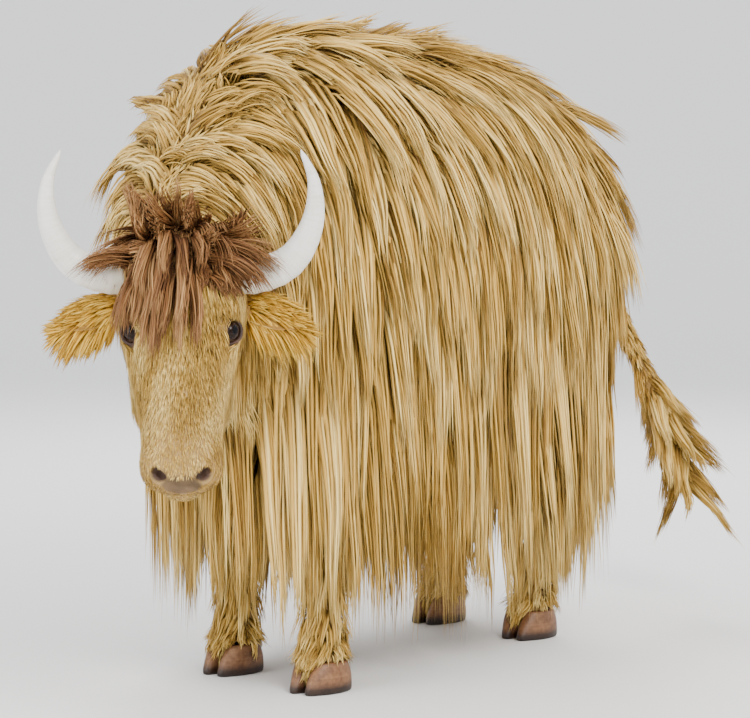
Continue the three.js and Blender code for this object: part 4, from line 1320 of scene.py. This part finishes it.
def make_eye_paint():
    paint = Paint("eye", 0.03, 0.5)
    paint.shader.inputs["IOR"].default_value = 1.24
    iris = paint.ramp(paint.noise(paint.where(), 260, 4), (0.3, (16, 9, 6)), (0.7, (46, 27, 15)))
    edge = paint.ramp(paint.attribute("iris"), (0.0, (0, 0, 0, 1)), (1.0, WHITE))
    colour = paint.blend(edge, iris, linear((74, 54, 42)))
    return paint.finished(paint.blend(paint.attribute("pupil"), colour, (0.002, 0.002, 0.003, 1)))


def eye(side):
    along, rise, out = eye_axes(side)
    centre = eye_places[side]
    polar = np.linspace(0, math.pi, 50)[1:-1][::-1, None, None]
    turn_by = (np.arange(64) * 2 * math.pi / 64)[:, None]
    bulge = EYE_RADIUS - 0.4 + 1.6 * ease(0.75, 0.3, polar)
    flat = np.sin(polar) * bulge * (np.cos(turn_by) * along + np.sin(turn_by) * rise)
    ends = [centre + out * (EYE_RADIUS - 0.4) * k for k in (-1, 1.05)]
    obj = lofted(f"eyeball_{SIDES[side]}", centre + flat + np.cos(polar) * bulge * out, *ends)
    off = back(coordinates(obj)) - centre
    a, b, c = off @ along, off @ rise, off @ out
    pupil = ease(1.15, 0.9, np.hypot(a / (0.38 * EYE_RADIUS), b / (0.24 * EYE_RADIUS)))
    add_values(obj, "pupil", pupil * (c > 0))
    add_values(obj, "iris", ease(0.64 * EYE_RADIUS, 0.75 * EYE_RADIUS, np.hypot(a, b) + 99 * (c < 0)))
    dressed(obj, eye_paint)
    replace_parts(obj, f"eye_{SIDES[side]}")


paint_skin()
horn_paint, hoof_paint, eye_paint = make_horn_paint(), make_hoof_paint(), make_eye_paint()
for side in SIDES:
    horn(side)
    eye(side)
for name, (x, y, _) in legs.items():
    for way in SIDES:
        label = f"{name}_{'outer' if way * y > 0 else 'inner'}"
        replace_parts(claw(f"hoof_{label}", x, y, way), f"claw_{label}")


# Stage

FLOOR_RADIUS = 9.0
FLOOR_SIDES = 96
WALL_BEND = 4.0
WALL_TOP = 9.0


def aimed(obj, at, way):
    obj.location = at
    obj.rotation_mode = "QUATERNION"
    obj.rotation_quaternion = way.to_track_quat("-Z", "Y")


def stage():
    """A pale floor that curves up into a round wall, a studio world and three soft lamps."""
    bend_angle = np.linspace(0, math.pi / 2, 16)
    radius = np.r_[FLOOR_RADIUS + WALL_BEND * np.sin(bend_angle), FLOOR_RADIUS + WALL_BEND][:, None]
    rise = np.r_[WALL_BEND * (1 - np.cos(bend_angle)), WALL_TOP][:, None]
    around = np.arange(FLOOR_SIDES) * 2 * math.pi / FLOOR_SIDES
    rings = stacked(radius * np.cos(around), radius * np.sin(around), rise)
    top = len(rings) * FLOOR_SIDES + 1
    faces = [face for face in ring_faces(len(rings), FLOOR_SIDES) if top not in face]
    floor = mesh_object("floor", np.vstack([rings.reshape(-1, 3), [[0, 0, 0], [0, 0, WALL_TOP]]]), faces)
    paint = Paint("floor", 0.8, 0.5)
    paint.shader.inputs["Base Color"].default_value = (0.93, 0.925, 0.915, 1)
    floor.data.materials.append(paint.material)
    world = bpy.data.worlds.new("studio")
    world.use_nodes = True
    sky = world.node_tree.nodes["Background"].inputs
    sky["Color"].default_value = (0.93, 0.95, 1.0, 1)
    sky["Strength"].default_value = 1.4
    bpy.context.scene.world = world
    for name, at, size, power, colour in [
        ("key", (2.4, 4.6, 4.2), 2.6, 380, (1.0, 0.96, 0.9)),
        ("fill", (5.0, -1.2, 2.2), 3.0, 130, (0.94, 0.97, 1.0)),
        ("rim", (-4.0, -2.6, 3.8), 2.4, 190, (1.0, 0.98, 0.95)),
    ]:
        light = bpy.data.lights.new(name, "AREA")
        light.energy, light.size, light.color = power, size, colour
        aimed(linked(name, light), Vector(at), Vector((0, 0, 0.8)) - Vector(at))


CAMERA_AZIMUTH = 127
CAMERA_ELEVATION = 5
CAMERA_DISTANCE = 7.0
CAMERA_AIM = (0.017, -0.003, 0.742)
CAMERA_LENS = 136


def camera():
    a, e = math.radians(CAMERA_AZIMUTH), math.radians(CAMERA_ELEVATION)
    way = Vector((math.sin(a) * math.cos(e), -math.cos(a) * math.cos(e), math.sin(e)))
    data = bpy.data.cameras.new("camera")
    data.lens, data.sensor_width = CAMERA_LENS, 36
    obj = linked("camera", data)
    aimed(obj, Vector(CAMERA_AIM) + way * CAMERA_DISTANCE, -way)
    bpy.context.scene.camera = obj


stage()
camera()
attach(skin, "root")
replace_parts(skin, "torso", "neck", "head", "ear_left", "ear_right", "tail", "tail_switch")
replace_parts(skin, *[f"leg_{name}" for name in legs])
